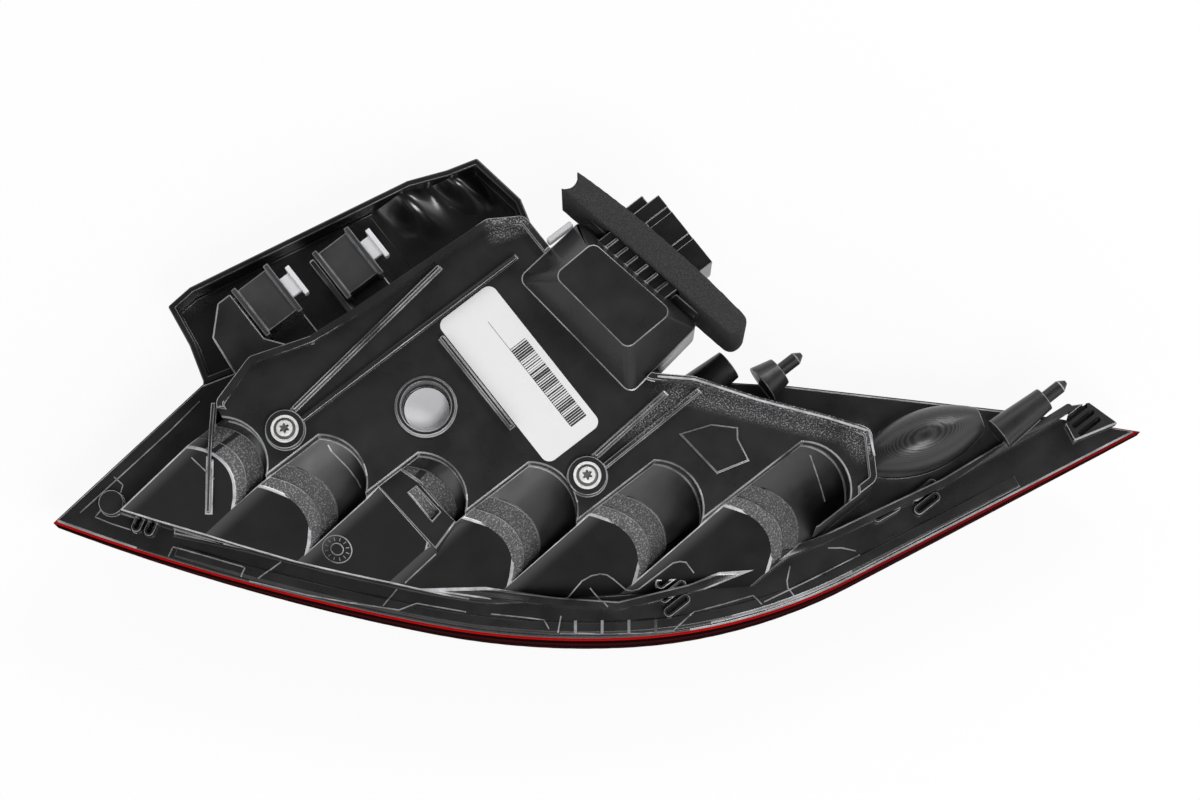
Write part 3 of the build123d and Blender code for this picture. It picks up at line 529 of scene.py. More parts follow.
def winding(point, loop):
    """How many times a flat loop of points goes round a point."""
    turns = 0
    for a, b in zip(loop, loop[1:] + loop[:1]):
        left = (b.x - a.x) * (point.y - a.y) - (b.y - a.y) * (point.x - a.x)
        if a.y <= point.y < b.y and left > 0:
            turns += 1
        elif b.y <= point.y < a.y and left < 0:
            turns -= 1
    return turns


def split_border(bm, edge, start, points):
    """Cut an edge at points, going away from its start, so the faces beside it get the same corners."""
    for point in points:
        share = (point - start.co).length / edge.calc_length()
        _, start = bmesh.utils.edge_split(edge, start, min(1.0, share))
        start.co = point


def refill(bm, face):
    """Fill the border of a flat face again: forwards where it lies flat, backwards where it folds over."""
    turn = face.normal.to_track_quat("Z", "Y").to_matrix().inverted()
    verts = list(face.verts)
    flat = [turn @ vert.co for vert in verts]
    loop = [point.to_2d() for point in flat]
    level = sum(point.z for point in flat) / len(flat)
    border = [(k, (k + 1) % len(loop)) for k in range(len(loop))]
    sides = [bm.edges.get((verts[a], verts[b])) for a, b in border]
    places, lines, triangles, sources, line_sources, _ = delaunay_2d_cdt(loop, border, [], 1, CROSS_GAP)
    back = turn.inverted()
    solid = [verts[source[0]].co.copy() if source else back @ Vector((place.x, place.y, level))
             for place, source in zip(places, sources)]
    finish = face.material_index
    bm.faces.remove(face)
    crossing = {}
    for line, made_of in zip(lines, line_sources):
        for k in made_of:
            crossing.setdefault(k, set()).update(line)
    corners = [verts[source[0]] if source else bm.verts.new(solid[k]) for k, source in enumerate(sources)]
    for k, found in crossing.items():
        ends = set(border[k])
        between = [v for v in found if not ends & set(sources[v])]
        between.sort(key=lambda v: (places[v] - loop[border[k][0]]).length)
        split_border(bm, sides[k], verts[border[k][0]], [solid[v] for v in between])
    fresh = []
    for triangle in triangles:
        a, b, c = [places[k] for k in triangle]
        turns = winding((a + b + c) / 3, loop)
        if turns:
            order = triangle if turns > 0 else triangle[::-1]
            new = bm.faces.new([corners[k] for k in order])
            new.material_index = finish
            new.smooth = True
            fresh.append(new)
    return fresh


def mend_flats(mesh):
    """Fill again each large flat face whose border crosses itself after the rounding."""
    bm = bmesh.new()
    bm.from_mesh(mesh)
    covered = {}
    for triangle in bm.calc_loop_triangles():
        a, b, c = [loop.vert.co for loop in triangle]
        face = triangle[0].face
        covered[face] = covered.get(face, 0.0) + (b - a).cross(c - a).length / 2
    large = [face for face in covered if len(face.verts) > FEW_CORNERS]
    crossed = [face for face in large if covered[face] > face.calc_area() * CROSS_SHARE]
    fresh = set()
    for face in crossed:
        fresh.update(refill(bm, face))
    bmesh.ops.remove_doubles(bm, verts=bm.verts, dist=WELD)
    fresh = {f for f in fresh if f.is_valid}
    inner = {e for f in fresh for e in f.edges if all(g in fresh for g in e.link_faces)}
    bmesh.ops.dissolve_limit(bm, angle_limit=FLAT, edges=list(inner), verts=[])
    bm.to_mesh(mesh)
    bm.free()
    return len(crossed)


print("folded faces are those covered more than", CROSS_SHARE, "times")

# %% [markdown]
# Each moulded piece now gets its rounds: wide ones on the large mouldings, narrow ones on the clips and the
# plug. The round could share the finish of its piece, but on black plastic the light it catches shows as a
# paler line, so it gets a paler finish of its own: a painted highlight. Weighted normals keep the large faces
# flat between the rounds.


# %% Round the edges
def rounded(node, mat, edge, width):
    """A copy of a CAD node with rounded edges, standing in for the node."""
    obj = clean_copy(node, mat)
    mod = obj.modifiers.new("edge", "BEVEL")
    if edge:
        obj.data.materials.append(edge)
        mod.material = 1
    mod.width = width
    mod.segments = 2
    mod.limit_method = "WEIGHT"
    mod.use_clamp_overlap = False
    evaluated(obj)
    print(node, "flat faces filled again:", mend_flats(obj.data))
    mod = obj.modifiers.new("flat", "WEIGHTED_NORMAL")
    mod.keep_sharp = True
    evaluated(obj)
    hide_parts(node)
    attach(obj, "root")
    return obj


# The second finish in each row is for the rounds: a painted highlight, paler than the piece.
finish_of = {
    "rear_housing": (housing_black, painted_edge_highlight, 0.8),
    "trim_tray": (gloss_black, tray_edge_highlight, 0.8),
    "plug_body": (satin_black, painted_edge_highlight, 0.45),
    "seal_strip": (seal_grey, None, 0.8),
    "outer_lens": (lens_mat, None, 0.8),
    "clip_holder_1": (block_satin, block_edge_highlight, 0.5),
    "clip_holder_2": (block_satin, block_edge_highlight, 0.5),
    "clip_insert_1": (clip_white, None, 0.35),
    "clip_insert_2": (clip_white, None, 0.35),
}
pieces = {}
for node, (mat, edge, width) in finish_of.items():
    pieces[node] = rounded(node, mat, edge, width * MM)
    print(node, "rounded:", len(pieces[node].data.polygons), "faces")

# %% [markdown]
# The chambers are spark eroded in the mould: a grainy lip at the foot, a second grainy band and a smoother
# barrel, next to slopes that are polished. The lip and the band are pale with painted glints, and the round
# at the border of the lip is a bright painted highlight. Masks in one material could do it, but these borders
# are sharp. So the faces of the housing are sorted by where they lie against the sloping plane of their
# chamber, which is the same plane the solid was cut with, and each sort gets its own finish.

# %% Finish the chambers
TOP_Z, SLOPE = 82.0, 0.58
FOOT_X = (-133.0, -119.0, -78.0, -58.0, -14.0, 34.0, 82.0)
END_X = (-106.0, -77.0, -48.0, -13.0, 30.0, 85.0)
LIP_END, BAND_END = 7.5, 17.5
LIP_EDGE, LIP_FOOT = 1.3, 6.0
BARREL_LOW, BARREL_OVER, BARREL_PAST = 50.0, 3.0, 3.0
UPRIGHT, LEVEL = 0.35, 0.999
SLOPE_NEAR, SLOPE_LEAN, SLOPE_UNDER = 0.9, -0.2, -1.0
DOME_SPOT, DOME_RADIUS, DOME_FOOT, DOME_LEAN = (124.0, -99.0), 30.0, 4.5, 0.05
RAIL_LINE = [(-159, 72), (-128, 35), (-92, -10), (-46, -56), (-26, -74), (3, -87), (34, -97), (62, -106),
             (120, -119), (184, -127)]
RAIL_WIDTH, RAIL_FOOT, RAIL_TOP = 3.5, 5.0, 10.5
DULL_WIDTH, DULL_HEIGHT = 17.0, 5.0
FIN_LINE = [(-112.3, 99.9), (-142.6, 65.9)]
fin_run = (Vector(FIN_LINE[1]) - Vector(FIN_LINE[0])).normalized()
fin_side = Vector((fin_run.y, -fin_run.x))
rim_run = Vector((math.cos(math.radians(RIM_TURN)), math.sin(math.radians(RIM_TURN))))
RIM_HALF_LONG, RIM_HALF_WIDE, RIM_BELOW = 56.0, 7.0, 1.0
EDGE, SLOPED, LIP, BAND, BARREL, MILLED, RAIL, PAINTED_HIGHLIGHT = range(1, 9)


def slope_fall(i):
    """How much the slope of a chamber falls across the row, to the millimetre."""
    return SLOPE * (FOOT_X[i + 1] - FOOT_X[i]) / PITCH


def slope_z(i, x, y):
    """Height of the sloping plane of a chamber."""
    return TOP_Z + SLOPE * (x - FOOT_X[i]) + slope_fall(i) * (y - FIRST_Y + i * PITCH)


def beside(p, line):
    """Distance in plan from a point to a chain of straight runs."""
    best = math.inf
    for (x0, y0), (x1, y1) in zip(line, line[1:]):
        run = Vector((x1 - x0, y1 - y0))
        to = Vector((p.x - x0, p.y - y0))
        t = max(0.0, min(1.0, to.dot(run) / run.length_squared))
        best = min(best, (to - run * t).length)
    return best


def edge_zone(p, i):
    """Finish of an edge, a painted highlight: brightest on the chambers' lips and a part of the deck rim,
    dull beside the lens.
    """
    if 0 <= i < len(END_X) and p.x < END_X[i] and p.z > RIM_Z + LIP_FOOT:
        if abs(p.z - slope_z(i, p.x, p.y)) < LIP_EDGE:
            return PAINTED_HIGHLIGHT
    off = Vector((p.x, p.y)) - Vector(RIM_SPOT)
    on_rim = abs(off.dot(rim_run)) < RIM_HALF_LONG and abs(off.cross(rim_run)) < RIM_HALF_WIDE
    if on_rim and p.z > DECK_Z - RIM_BELOW:
        return PAINTED_HIGHLIGHT
    if p.z < RIM_Z + DULL_HEIGHT and beside(p, RAIL_LINE) < DULL_WIDTH:
        return RAIL
    return EDGE


def barrel_zone(p, i, normal):
    """Finish of a face that lies in a chamber: slope, lip, band or barrel."""
    plane_z = slope_z(i, p.x, p.y)
    behind_fin = i == 0 and fin_side.dot(Vector((p.x, p.y)) - Vector(FIN_LINE[0])) > 0
    if behind_fin or abs(plane_z - p.z) < SLOPE_NEAR and normal.x < SLOPE_LEAN:
        return SLOPED
    along = (plane_z - p.z) / SLOPE
    if along < SLOPE_UNDER:
        return 0
    return LIP if along < LIP_END else BAND if along < BAND_END else BARREL


def chamber_zone(poly):
    """Which finish a face of the housing needs: a number of its list of finishes."""
    p = (poly.center + CENTRE) * MM_PER_METRE
    i = math.floor((FIRST_Y - p.y) / PITCH)
    if poly.material_index == EDGE:
        return edge_zone(p, i)
    from_dome = (Vector((p.x, p.y)) - Vector(DOME_SPOT)).length
    if from_dome < DOME_RADIUS and p.z > RIM_Z + DOME_FOOT and poly.normal.z > DOME_LEAN:
        return MILLED
    # The rail is paler: a painted highlight.
    if RIM_Z + RAIL_FOOT < p.z < RIM_Z + RAIL_TOP and beside(p, RAIL_LINE) < RAIL_WIDTH:
        return RAIL
    in_row = 0 <= i < len(END_X) and p.x <= END_X[i] + BARREL_PAST
    if in_row and BARREL_LOW <= p.z <= TOP_Z + BARREL_OVER and UPRIGHT < poly.normal.z < LEVEL:
        return barrel_zone(p, i, poly.normal)
    return 0


housing = pieces["rear_housing"].data
for mat in (ramp_black, lip_grain_glints, band_grain_glints, barrel_grey, dome_milled, rail_highlight, painted_lip_highlight):
    housing.materials.append(mat)
counts = [0] * len(housing.materials)
for poly in housing.polygons:
    zone = chamber_zone(poly)
    poly.material_index = zone
    counts[zone] += 1
print("housing faces by finish:", counts)

# %% [markdown]
# The gasket is a soft foam pad: cut from a slab, with edges that are pulled round. Its crown is in the
# solid already, so a cloth simulation has little to add. A fine remesh with smoothing turns the sharp solid
# into that soft form, and the pores come from the material.

# %% Foam gasket
FOAM_CELL = 0.0011
foam = clean_copy("foam_gasket", foam_mat)
mod = foam.modifiers.new("cells", "REMESH")
mod.mode = "VOXEL"
mod.voxel_size = FOAM_CELL
mod = foam.modifiers.new("soft", "SMOOTH")
mod.factor = 0.5
mod.iterations = 8
evaluated(foam)
for poly in foam.data.polygons:
    poly.use_smooth = True
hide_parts("foam_gasket")
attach(foam, "root")
print("foam:", len(foam.data.polygons), "faces")

# %% [markdown]
# The two screws are plated steel with a wide flange, a groove, a sloping head and a six lobed socket. They
# could be cut from cylinders, but a lathe makes the real ones. So each is turned: a list of rings from the
# shank up, where the socket rings carry six lobes. The groove and the socket get a darker finish, painted
# shade in these recesses, so a ring also says its finish.

# %% Screws
SCREW_PLACES = [(-95.0, 71.0), (-5.0, -25.0)]
SCREW_SEAT = DECK_Z + 4.0
LOBES = 6
TURNED_SHARP = math.radians(35)
SCREW_RINGS = [
    (2.5, -13.9, 0, 0), (2.5, 0.0, 0, 0), (5.7, 0.0, 0, 0), (6.0, 0.25, 0, 0), (6.0, 0.95, 0, 0),
    (5.75, 1.2, 0, 0), (4.75, 1.15, 0, 1), (4.5, 0.2, 0, 1), (3.7, 0.2, 0, 1), (3.6, 2.0, 0, 0),
    (3.2, 2.55, 0, 0), (2.6, 2.6, 0, 0), (1.85, 2.55, 0.45, 1), (1.8, 0.6, 0.45, 1)]


def turned(name, rings, mats, base, steps=72):
    """A turned piece from rings of radius, height, lobe depth and finish, closed at both ends."""
    bm = bmesh.new()
    loops = []
    for radius, height, lobe, _ in rings:
        loop = []
        for k in range(steps):
            a = 2 * math.pi * k / steps
            r = radius + lobe * math.cos(LOBES * a)
            loop.append(bm.verts.new(base + Vector((r * math.cos(a), r * math.sin(a), height)) * MM))
        loops.append(loop)
    for low, high, ring in zip(loops, loops[1:], rings):
        for k in range(steps):
            n = (k + 1) % steps
            bm.faces.new((low[k], low[n], high[n], high[k])).material_index = ring[3]
    bm.faces.new(list(reversed(loops[0])))
    bm.faces.new(loops[-1]).material_index = rings[-1][3]
    mesh = bpy.data.meshes.new(name)
    bm.to_mesh(mesh)
    bm.free()
    for mat in mats:
        mesh.materials.append(mat)
    for poly in mesh.polygons:
        poly.use_smooth = True
    mesh.set_sharp_from_angle(angle=TURNED_SHARP)
    obj = bpy.data.objects.new(name, mesh)
    bpy.context.scene.collection.objects.link(obj)
    return obj


for k, (x, y) in enumerate(SCREW_PLACES):
    head = turned(f"screw_{k + 1}_piece", SCREW_RINGS, (steel_mat, groove_shade_mat), spot(x, y, SCREW_SEAT))
    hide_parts(f"screw_{k + 1}")
    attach(head, "root")
    print(head.name, len(head.data.polygons), "faces")

# %% [markdown]
# Three things on this part repeat along a path: the bars printed on the label, the short ticks on the
# flange and the marks round the dial. Each could be copied by hand, but a Geometry Nodes tree with named
# inputs says the rule once: points on a path, one block on each. These helpers make a tree, run it and keep
# its mesh.


# %% Trees for rows
def tree_with(name, sockets):
    """An empty Geometry Nodes tree with named inputs and a geometry output."""
    tree = bpy.data.node_groups.new(name, "GeometryNodeTree")
    for label, kind, value in sockets:
        socket = tree.interface.new_socket(label, in_out="INPUT", socket_type="NodeSocket" + kind)
        socket.default_value = value
    tree.interface.new_socket("Geometry", in_out="OUTPUT", socket_type="NodeSocketGeometry")
    return tree, tree.nodes.new("NodeGroupInput"), tree.nodes.new("NodeGroupOutput")


def grown(name, tree, values, place=Matrix()):
    """Run a tree on an empty object, keep the mesh and put it in its place."""
    obj = bpy.data.objects.new(name, bpy.data.meshes.new(name))
    bpy.context.scene.collection.objects.link(obj)
    mod = obj.modifiers.new("grow", "NODES")
    mod.node_group = tree
    for item in tree.interface.items_tree:
        if item.in_out == "INPUT" and item.name in values:
            mod[item.identifier] = values[item.name]
    evaluated(obj)
    obj.data.transform(place)
    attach(obj, "root")
    print(name, len(obj.data.polygons), "faces")
    return obj


def finish_tree(tree, out, source, mat):
    """Realize the instances, set the material and pass the mesh on."""
    real = tree.nodes.new("GeometryNodeRealizeInstances")
    paint = tree.nodes.new("GeometryNodeSetMaterial")
    paint.inputs["Material"].default_value = mat
    tree.links.new(source, real.inputs["Geometry"])
    tree.links.new(real.outputs["Geometry"], paint.inputs["Geometry"])
    tree.links.new(paint.outputs["Geometry"], out.inputs["Geometry"])


def size_node(tree, inp, long, wide, high):
    """A vector of three sizes: sockets of the group, or of another node."""
    size = tree.nodes.new("ShaderNodeCombineXYZ")
    for axis, source in zip("XYZ", (long, wide, high)):
        tree.links.new(inp.outputs[source] if isinstance(source, str) else source, size.inputs[axis])
    return size.outputs["Vector"]


print("helpers for trees ready")

# %% [markdown]
# The label carries a row of printed bars and a thin rule, and the flange four short ticks. Ink could be a
# texture, but a picture is not needed for plain bars. One tree serves all three: blocks on a line, each as
# wide as a random draw from a fixed seed says.


# %% Label bars and flange ticks
def bar_tree(name, mat):
    """Blocks along a line, with widths between thin and thick."""
    tree, inp, out = tree_with(name, [
        ("Count", "Int", 10), ("Start", "Vector", (0, 0, 0)), ("Step", "Vector", (0, 0.001, 0)),
        ("Turn", "Float", 0.0), ("Bar", "Float", 0.007), ("Thin", "Float", 0.0001),
        ("Thick", "Float", 0.0005), ("High", "Float", 0.0001), ("Seed", "Int", 3)])
    line = tree.nodes.new("GeometryNodeMeshLine")
    tree.links.new(inp.outputs["Count"], line.inputs["Count"])
    tree.links.new(inp.outputs["Start"], line.inputs["Start Location"])
    tree.links.new(inp.outputs["Step"], line.inputs["Offset"])
    block = tree.nodes.new("GeometryNodeMeshCube")
    pick = tree.nodes.new("FunctionNodeRandomValue")
    tree.links.new(inp.outputs["Thin"], pick.inputs[2])
    tree.links.new(inp.outputs["Thick"], pick.inputs[3])
    tree.links.new(inp.outputs["Seed"], pick.inputs["Seed"])
    turn = tree.nodes.new("ShaderNodeCombineXYZ")
    tree.links.new(inp.outputs["Turn"], turn.inputs["Z"])
    angle = tree.nodes.new("FunctionNodeEulerToRotation")
    tree.links.new(turn.outputs["Vector"], angle.inputs["Euler"])
    put = tree.nodes.new("GeometryNodeInstanceOnPoints")
    tree.links.new(line.outputs["Mesh"], put.inputs["Points"])
    tree.links.new(block.outputs["Mesh"], put.inputs["Instance"])
    tree.links.new(angle.outputs["Rotation"], put.inputs["Rotation"])
    tree.links.new(size_node(tree, inp, "Bar", pick.outputs[1], "High"), put.inputs["Scale"])
    finish_tree(tree, out, put.outputs["Instances"], mat)
    return tree


PRINT_Z = DECK_Z + 0.31
TICK_Z = 49.6
print_tree = bar_tree("print_row", ink_mat)
grown("label_bars", print_tree, {
    "Count": 40, "Start": spot(7.1, -3.2, PRINT_Z), "Step": (0, 1.09 * MM, 0), "Bar": 8.2 * MM,
    "Thin": 0.22 * MM, "Thick": 0.95 * MM, "High": 0.06 * MM})
grown("label_rule", print_tree, {
    "Count": 1, "Start": spot(2.9, 26.0, PRINT_Z), "Bar": 0.18 * MM, "Thin": 58 * MM, "Thick": 58 * MM,
    "High": 0.06 * MM})
# The ticks take the pale edge finish: a painted highlight.
tick_tree = bar_tree("tick_row", painted_edge_highlight)
grown("flange_ticks", tick_tree, {
    "Count": 4, "Start": spot(-46.5, -69.5, TICK_Z), "Step": Vector((9.3, -7.1, 0)) * MM,
    "Turn": math.radians(52), "Bar": 6.0 * MM, "Thin": 1.1 * MM, "Thick": 1.3 * MM, "High": 1.6 * MM})

# %% [markdown]
# A mould carries a small dial that is stamped to show when a piece was made. Here it stays plain: two rings
# and twelve marks. The rings could be meshes of their own, but in a tree they share the radius with the
# marks. The dial is grown flat and then laid on the slope of its chamber.

# %% Date dial
MARK_SHARE = 0.74


def dial_tree(mat):
    """Two rings and marks between them, flat in the plan."""
    tree, inp, out = tree_with("date_dial", [
        ("Radius", "Float", 0.007), ("Inner", "Float", 0.0028), ("Wire", "Float", 0.0003),
        ("Count", "Int", 12), ("Mark", "Float", 0.0016)])
    join = tree.nodes.new("GeometryNodeJoinGeometry")
    wire = tree.nodes.new("GeometryNodeCurvePrimitiveCircle")
    wire.inputs["Resolution"].default_value = 8
    tree.links.new(inp.outputs["Wire"], wire.inputs["Radius"])
    for ring in ("Radius", "Inner"):
        circle = tree.nodes.new("GeometryNodeCurvePrimitiveCircle")
        circle.inputs["Resolution"].default_value = 48
        tree.links.new(inp.outputs[ring], circle.inputs["Radius"])
        tube = tree.nodes.new("GeometryNodeCurveToMesh")
        tree.links.new(circle.outputs["Curve"], tube.inputs["Curve"])
        tree.links.new(wire.outputs["Curve"], tube.inputs["Profile Curve"])
        tree.links.new(tube.outputs["Mesh"], join.inputs["Geometry"])
    middle = tree.nodes.new("ShaderNodeMath")
    middle.operation = "MULTIPLY"
    middle.inputs[1].default_value = MARK_SHARE
    tree.links.new(inp.outputs["Radius"], middle.inputs[0])
    marks = tree.nodes.new("GeometryNodeMeshCircle")
    tree.links.new(inp.outputs["Count"], marks.inputs["Vertices"])
    tree.links.new(middle.outputs[0], marks.inputs["Radius"])
    block = tree.nodes.new("GeometryNodeMeshCube")
    outward = tree.nodes.new("FunctionNodeAlignRotationToVector")
    outward.axis = "X"
    tree.links.new(tree.nodes.new("GeometryNodeInputPosition").outputs["Position"], outward.inputs["Vector"])
    put = tree.nodes.new("GeometryNodeInstanceOnPoints")
    tree.links.new(marks.outputs["Mesh"], put.inputs["Points"])
    tree.links.new(block.outputs["Mesh"], put.inputs["Instance"])
    tree.links.new(outward.outputs["Rotation"], put.inputs["Rotation"])
    tree.links.new(size_node(tree, inp, "Mark", "Wire", "Wire"), put.inputs["Scale"])
    tree.links.new(put.outputs["Instances"], join.inputs["Geometry"])
    finish_tree(tree, out, join.outputs["Geometry"], mat)
    return tree


DIAL_CHAMBER = 2
DIAL_X, DIAL_Y = -108.0, 20.3
dial_spot = spot(DIAL_X, DIAL_Y, slope_z(DIAL_CHAMBER, DIAL_X, DIAL_Y))
slope_up = Vector((-SLOPE, -slope_fall(DIAL_CHAMBER), 1.0)).normalized()
dial_place = Matrix.Translation(dial_spot) @ slope_up.to_track_quat("Z", "Y").to_matrix().to_4x4()
# The dial takes the pale edge finish: a painted highlight on its rings and marks.
grown("date_dial", dial_tree(painted_edge_highlight), {"Radius": 6.6 * MM}, dial_place)

# %% [markdown]
# A thin fin cuts across the first chamber from the deck down its slope. It could be a solid, but it is a
# wall of even thickness on a straight line. So it is built from its side view: top and bottom edges along
# the line, at shares of its length, and Solidify gives it its thickness.

# %% Chamber fin
FIN_THICK, FIN_DEPTH, FIN_ROUND = 1.6, 15.0, 0.35
FIN_HEIGHTS = [(0.0, 88.0), (0.254, 88.0), (0.452, 86.0), (1.0, 73.6)]
fin_ends = [Vector(end) for end in FIN_LINE]
fin_top = [(*fin_ends[0].lerp(fin_ends[1], share), z) for share, z in FIN_HEIGHTS]
fin_mesh = bpy.data.meshes.new("chamber_fin")
upper = [spot(*point) for point in fin_top]
lower = [spot(x, y, z - FIN_DEPTH) for x, y, z in fin_top]
last = len(fin_top)
fin_mesh.from_pydata(upper + lower, [], [(k, last + k, last + k + 1, k + 1) for k in range(last - 1)])
fin_mesh.materials.append(housing_black)
# The rounds of the fin take the pale edge finish: a painted highlight.
fin_mesh.materials.append(painted_edge_highlight)
fin = bpy.data.objects.new("chamber_fin", fin_mesh)
bpy.context.scene.collection.objects.link(fin)
mod = fin.modifiers.new("wall", "SOLIDIFY")
mod.thickness = FIN_THICK * MM
mod.offset = 0.0
mod = fin.modifiers.new("edge", "BEVEL")
mod.width = FIN_ROUND * MM
mod.segments = 2
mod.limit_method = "ANGLE"
mod.material = 1
evaluated(fin)
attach(fin, "root")
print("fin", len(fin.data.polygons), "faces")

# %% [markdown]
# The floor of the tray is not flat: two soft buttresses run up to its back wall and catch the light as long
# pale streaks. They could be sculpted, but they follow a rule. So a fine grid over that corner of the floor
# is lifted by two smooth ridges that rise towards the wall. Its back border lies inside the wall and its
# other borders fade to the floor, so it grows out of the tray.

# %% Tray buttresses
TRAY_FLOOR = 31.0
FLOOR_LIFT = 0.05
CORNER_LEFT, CORNER_RIGHT, CORNER_FRONT = -4.0, 46.5, 100.0
FADE_LEFT, FADE_RIGHT = 8.0, 5.0
BACK_WALL = [(-4.0, 138.5), (18.0, 134.3), (35.0, 127.3), (46.5, 123.8)]
BUTTRESSES = [(13.0, 9.0, 9.0), (35.0, 8.0, 9.5)]
BUTTRESS_LEAN = 5.0
RISE_RATE, RISE_DELAY = 1.15, 0.1
GRID_STEPS, GRID_THICK = 90, 1.0


def smooth(t):
    """A soft step from 0 to 1."""
    t = max(0.0, min(1.0, t))
    return t * t * (3.0 - 2.0 * t)


def wall_y(x):
    """Where the middle of the back wall lies at x."""
    for (x0, y0), (x1, y1) in zip(BACK_WALL, BACK_WALL[1:]):
        if x <= x1:
            return y0 + (y1 - y0) * (x - x0) / (x1 - x0)
    return BACK_WALL[-1][1]


def buttress_height(x, share):
    """Height of the buttresses over the floor, in millimetres, at a share of the way to the wall."""
    total = 0.0
    for centre, width, height in BUTTRESSES:
        lean = centre + BUTTRESS_LEAN * (1.0 - share)
        total += height * math.exp(-((x - lean) / width) ** 2)
    ends = smooth((x - CORNER_LEFT) / FADE_LEFT) * smooth((CORNER_RIGHT - x) / FADE_RIGHT)
    return total * smooth(share * RISE_RATE - RISE_DELAY) * ends


bm = bmesh.new()
rows = []
for j in range(GRID_STEPS + 1):
    share = j / GRID_STEPS
    row = []
    for i in range(GRID_STEPS + 1):
        x = CORNER_LEFT + (CORNER_RIGHT - CORNER_LEFT) * i / GRID_STEPS
        y = CORNER_FRONT + (wall_y(x) - CORNER_FRONT) * share
        row.append(bm.verts.new(spot(x, y, TRAY_FLOOR + FLOOR_LIFT + buttress_height(x, share))))
    rows.append(row)
for low, high in zip(rows, rows[1:]):
    for i in range(GRID_STEPS):
        bm.faces.new((low[i], low[i + 1], high[i + 1], high[i]))
buttress_mesh = bpy.data.meshes.new("tray_buttresses")
bm.to_mesh(buttress_mesh)
bm.free()
buttress_mesh.materials.append(gloss_black)
for poly in buttress_mesh.polygons:
    poly.use_smooth = True
buttresses = bpy.data.objects.new("tray_buttresses", buttress_mesh)
bpy.context.scene.collection.objects.link(buttresses)
mod = buttresses.modifiers.new("floor", "SOLIDIFY")
mod.thickness = GRID_THICK * MM
mod.offset = -1.0
evaluated(buttresses)
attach(buttresses, "root")
print("tray buttresses", len(buttresses.data.polygons), "faces")

# %% [markdown]
# The picture looks almost straight down on the back of the lamp, a little from the side of the lens edge. A
# camera could be moved by hand until it fits, but its turn, rise and range say the same in three numbers.
# They come before the mould lines, which are placed with the help of this view.

# %% Camera
TURN = math.radians(38)
RISE = math.radians(80)
RANGE = 1.6
FIELD = 0.527
SENSOR = 36.0
AIM = spot(23.0, 2.0, 60.0)
UPWARD = Vector((0, 0, 1))
right = Vector((math.cos(TURN), -math.sin(TURN), 0))
ahead = Vector((math.sin(TURN), math.cos(TURN), 0))
look = ahead * math.cos(RISE) - UPWARD * math.sin(RISE)
up = ahead * math.sin(RISE) + UPWARD * math.cos(RISE)
eye = AIM - look * RANGE
cam_data = bpy.data.cameras.new("photo_camera")
cam_data.sensor_width = SENSOR
cam_data.lens = SENSOR * RANGE / FIELD
cam = bpy.data.objects.new("photo_camera", cam_data)
cam.matrix_world = Matrix((
    (right.x, up.x, -look.x, eye.x),
    (right.y, up.y, -look.y, eye.y),
    (right.z, up.z, -look.z, eye.z),
    (0, 0, 0, 1)))
bpy.context.scene.collection.objects.link(cam)
bpy.context.scene.camera = cam
print("camera at", [round(v, 3) for v in eye])

# %% [markdown]
# The mould is built from many steel inserts, and a fine raised line is left wherever two of them meet.
# These lines, and the edges of the low plates on the flange, break up the plain black in a hard light. They
# could be bump in a material, but then the mesh would lack them. They were picked in the photo, so
# each is written as a chain of photo points, and the camera's ray through a point finds its place on the
# solid.

# %% Places of the mould lines
PHOTO_WIDE, PHOTO_HIGH = 1200, 800
PHOTO_LINES = {
    "back rim": [(80, 513), (101, 494), (123, 474), (147, 452), (170, 431), (200, 401)],
    "back notch": [(114, 477), (123, 485), (118.5, 493.5)],
    "hook box": [(100.5, 507.5), (95, 517), (112, 524), (131, 530)],
    "first plate": [(168, 560), (173, 547), (209, 557), (245, 567.5), (241, 577)],
    "long panel": [(249, 581), (280, 588.5), (307, 595), (345, 602), (382, 607.5), (399, 610), (417, 603.5),
                   (466, 612)],
    "panel left": [(258, 578.5), (281, 562)],
    "panel right": [(383, 606), (397, 589)],
    "slope line": [(405, 583), (436, 554)],
    "second plate": [(491, 614), (520, 617), (544, 620), (549, 629)],
    "rail end": [(558, 633), (561, 616)],
    "third plate": [(560, 633), (600, 634), (640, 633.5), (673, 631), (694, 612), (724, 604), (753, 595.5),
                    (762, 604.5)],
    "long line": [(764, 602), (812, 579), (860, 555)],
    "wave": [(566, 598), (582, 581), (591, 576), (600, 574), (607, 575), (613, 579), (626, 590), (632, 591),
             (639, 589), (656, 576), (673, 563), (680, 561.5), (686, 562.5), (694, 573)],
    "right arc": [(795, 597), (788, 588), (787, 581), (790, 566)],
    "short rib": [(590, 588), (608, 607)],
    "first slope": [(191.5, 457.5), (195, 461), (214, 479)],
    "second barrel": [(328, 445), (332, 452), (348, 468), (357, 480), (361, 488)],
    "last barrel": [(810, 455), (818, 478), (825, 502)],
    "last foot": [(828, 548), (842, 548), (856, 551)],
}


def ray_tree(mesh):
    """A tree of faces that rays can be cast on."""
    return BVHTree.FromPolygons([v.co for v in mesh.vertices], [tuple(p.vertices) for p in mesh.polygons])


def plan_point(solid, u, v):
    """Drawing x and y of a photo point: on the solid, or past its border at the height of the lens rim."""
    pixel = FIELD / PHOTO_WIDE
    ray = look * RANGE + right * (u - PHOTO_WIDE / 2) * pixel + up * (PHOTO_HIGH / 2 - v) * pixel
    hit = solid.ray_cast(eye, ray.normalized())[0]
    if hit is None:
        hit = eye + ray * (RIM_Z * MM - eye.z) / ray.z
    place = (hit + CENTRE) * MM_PER_METRE
    return place.x, place.y


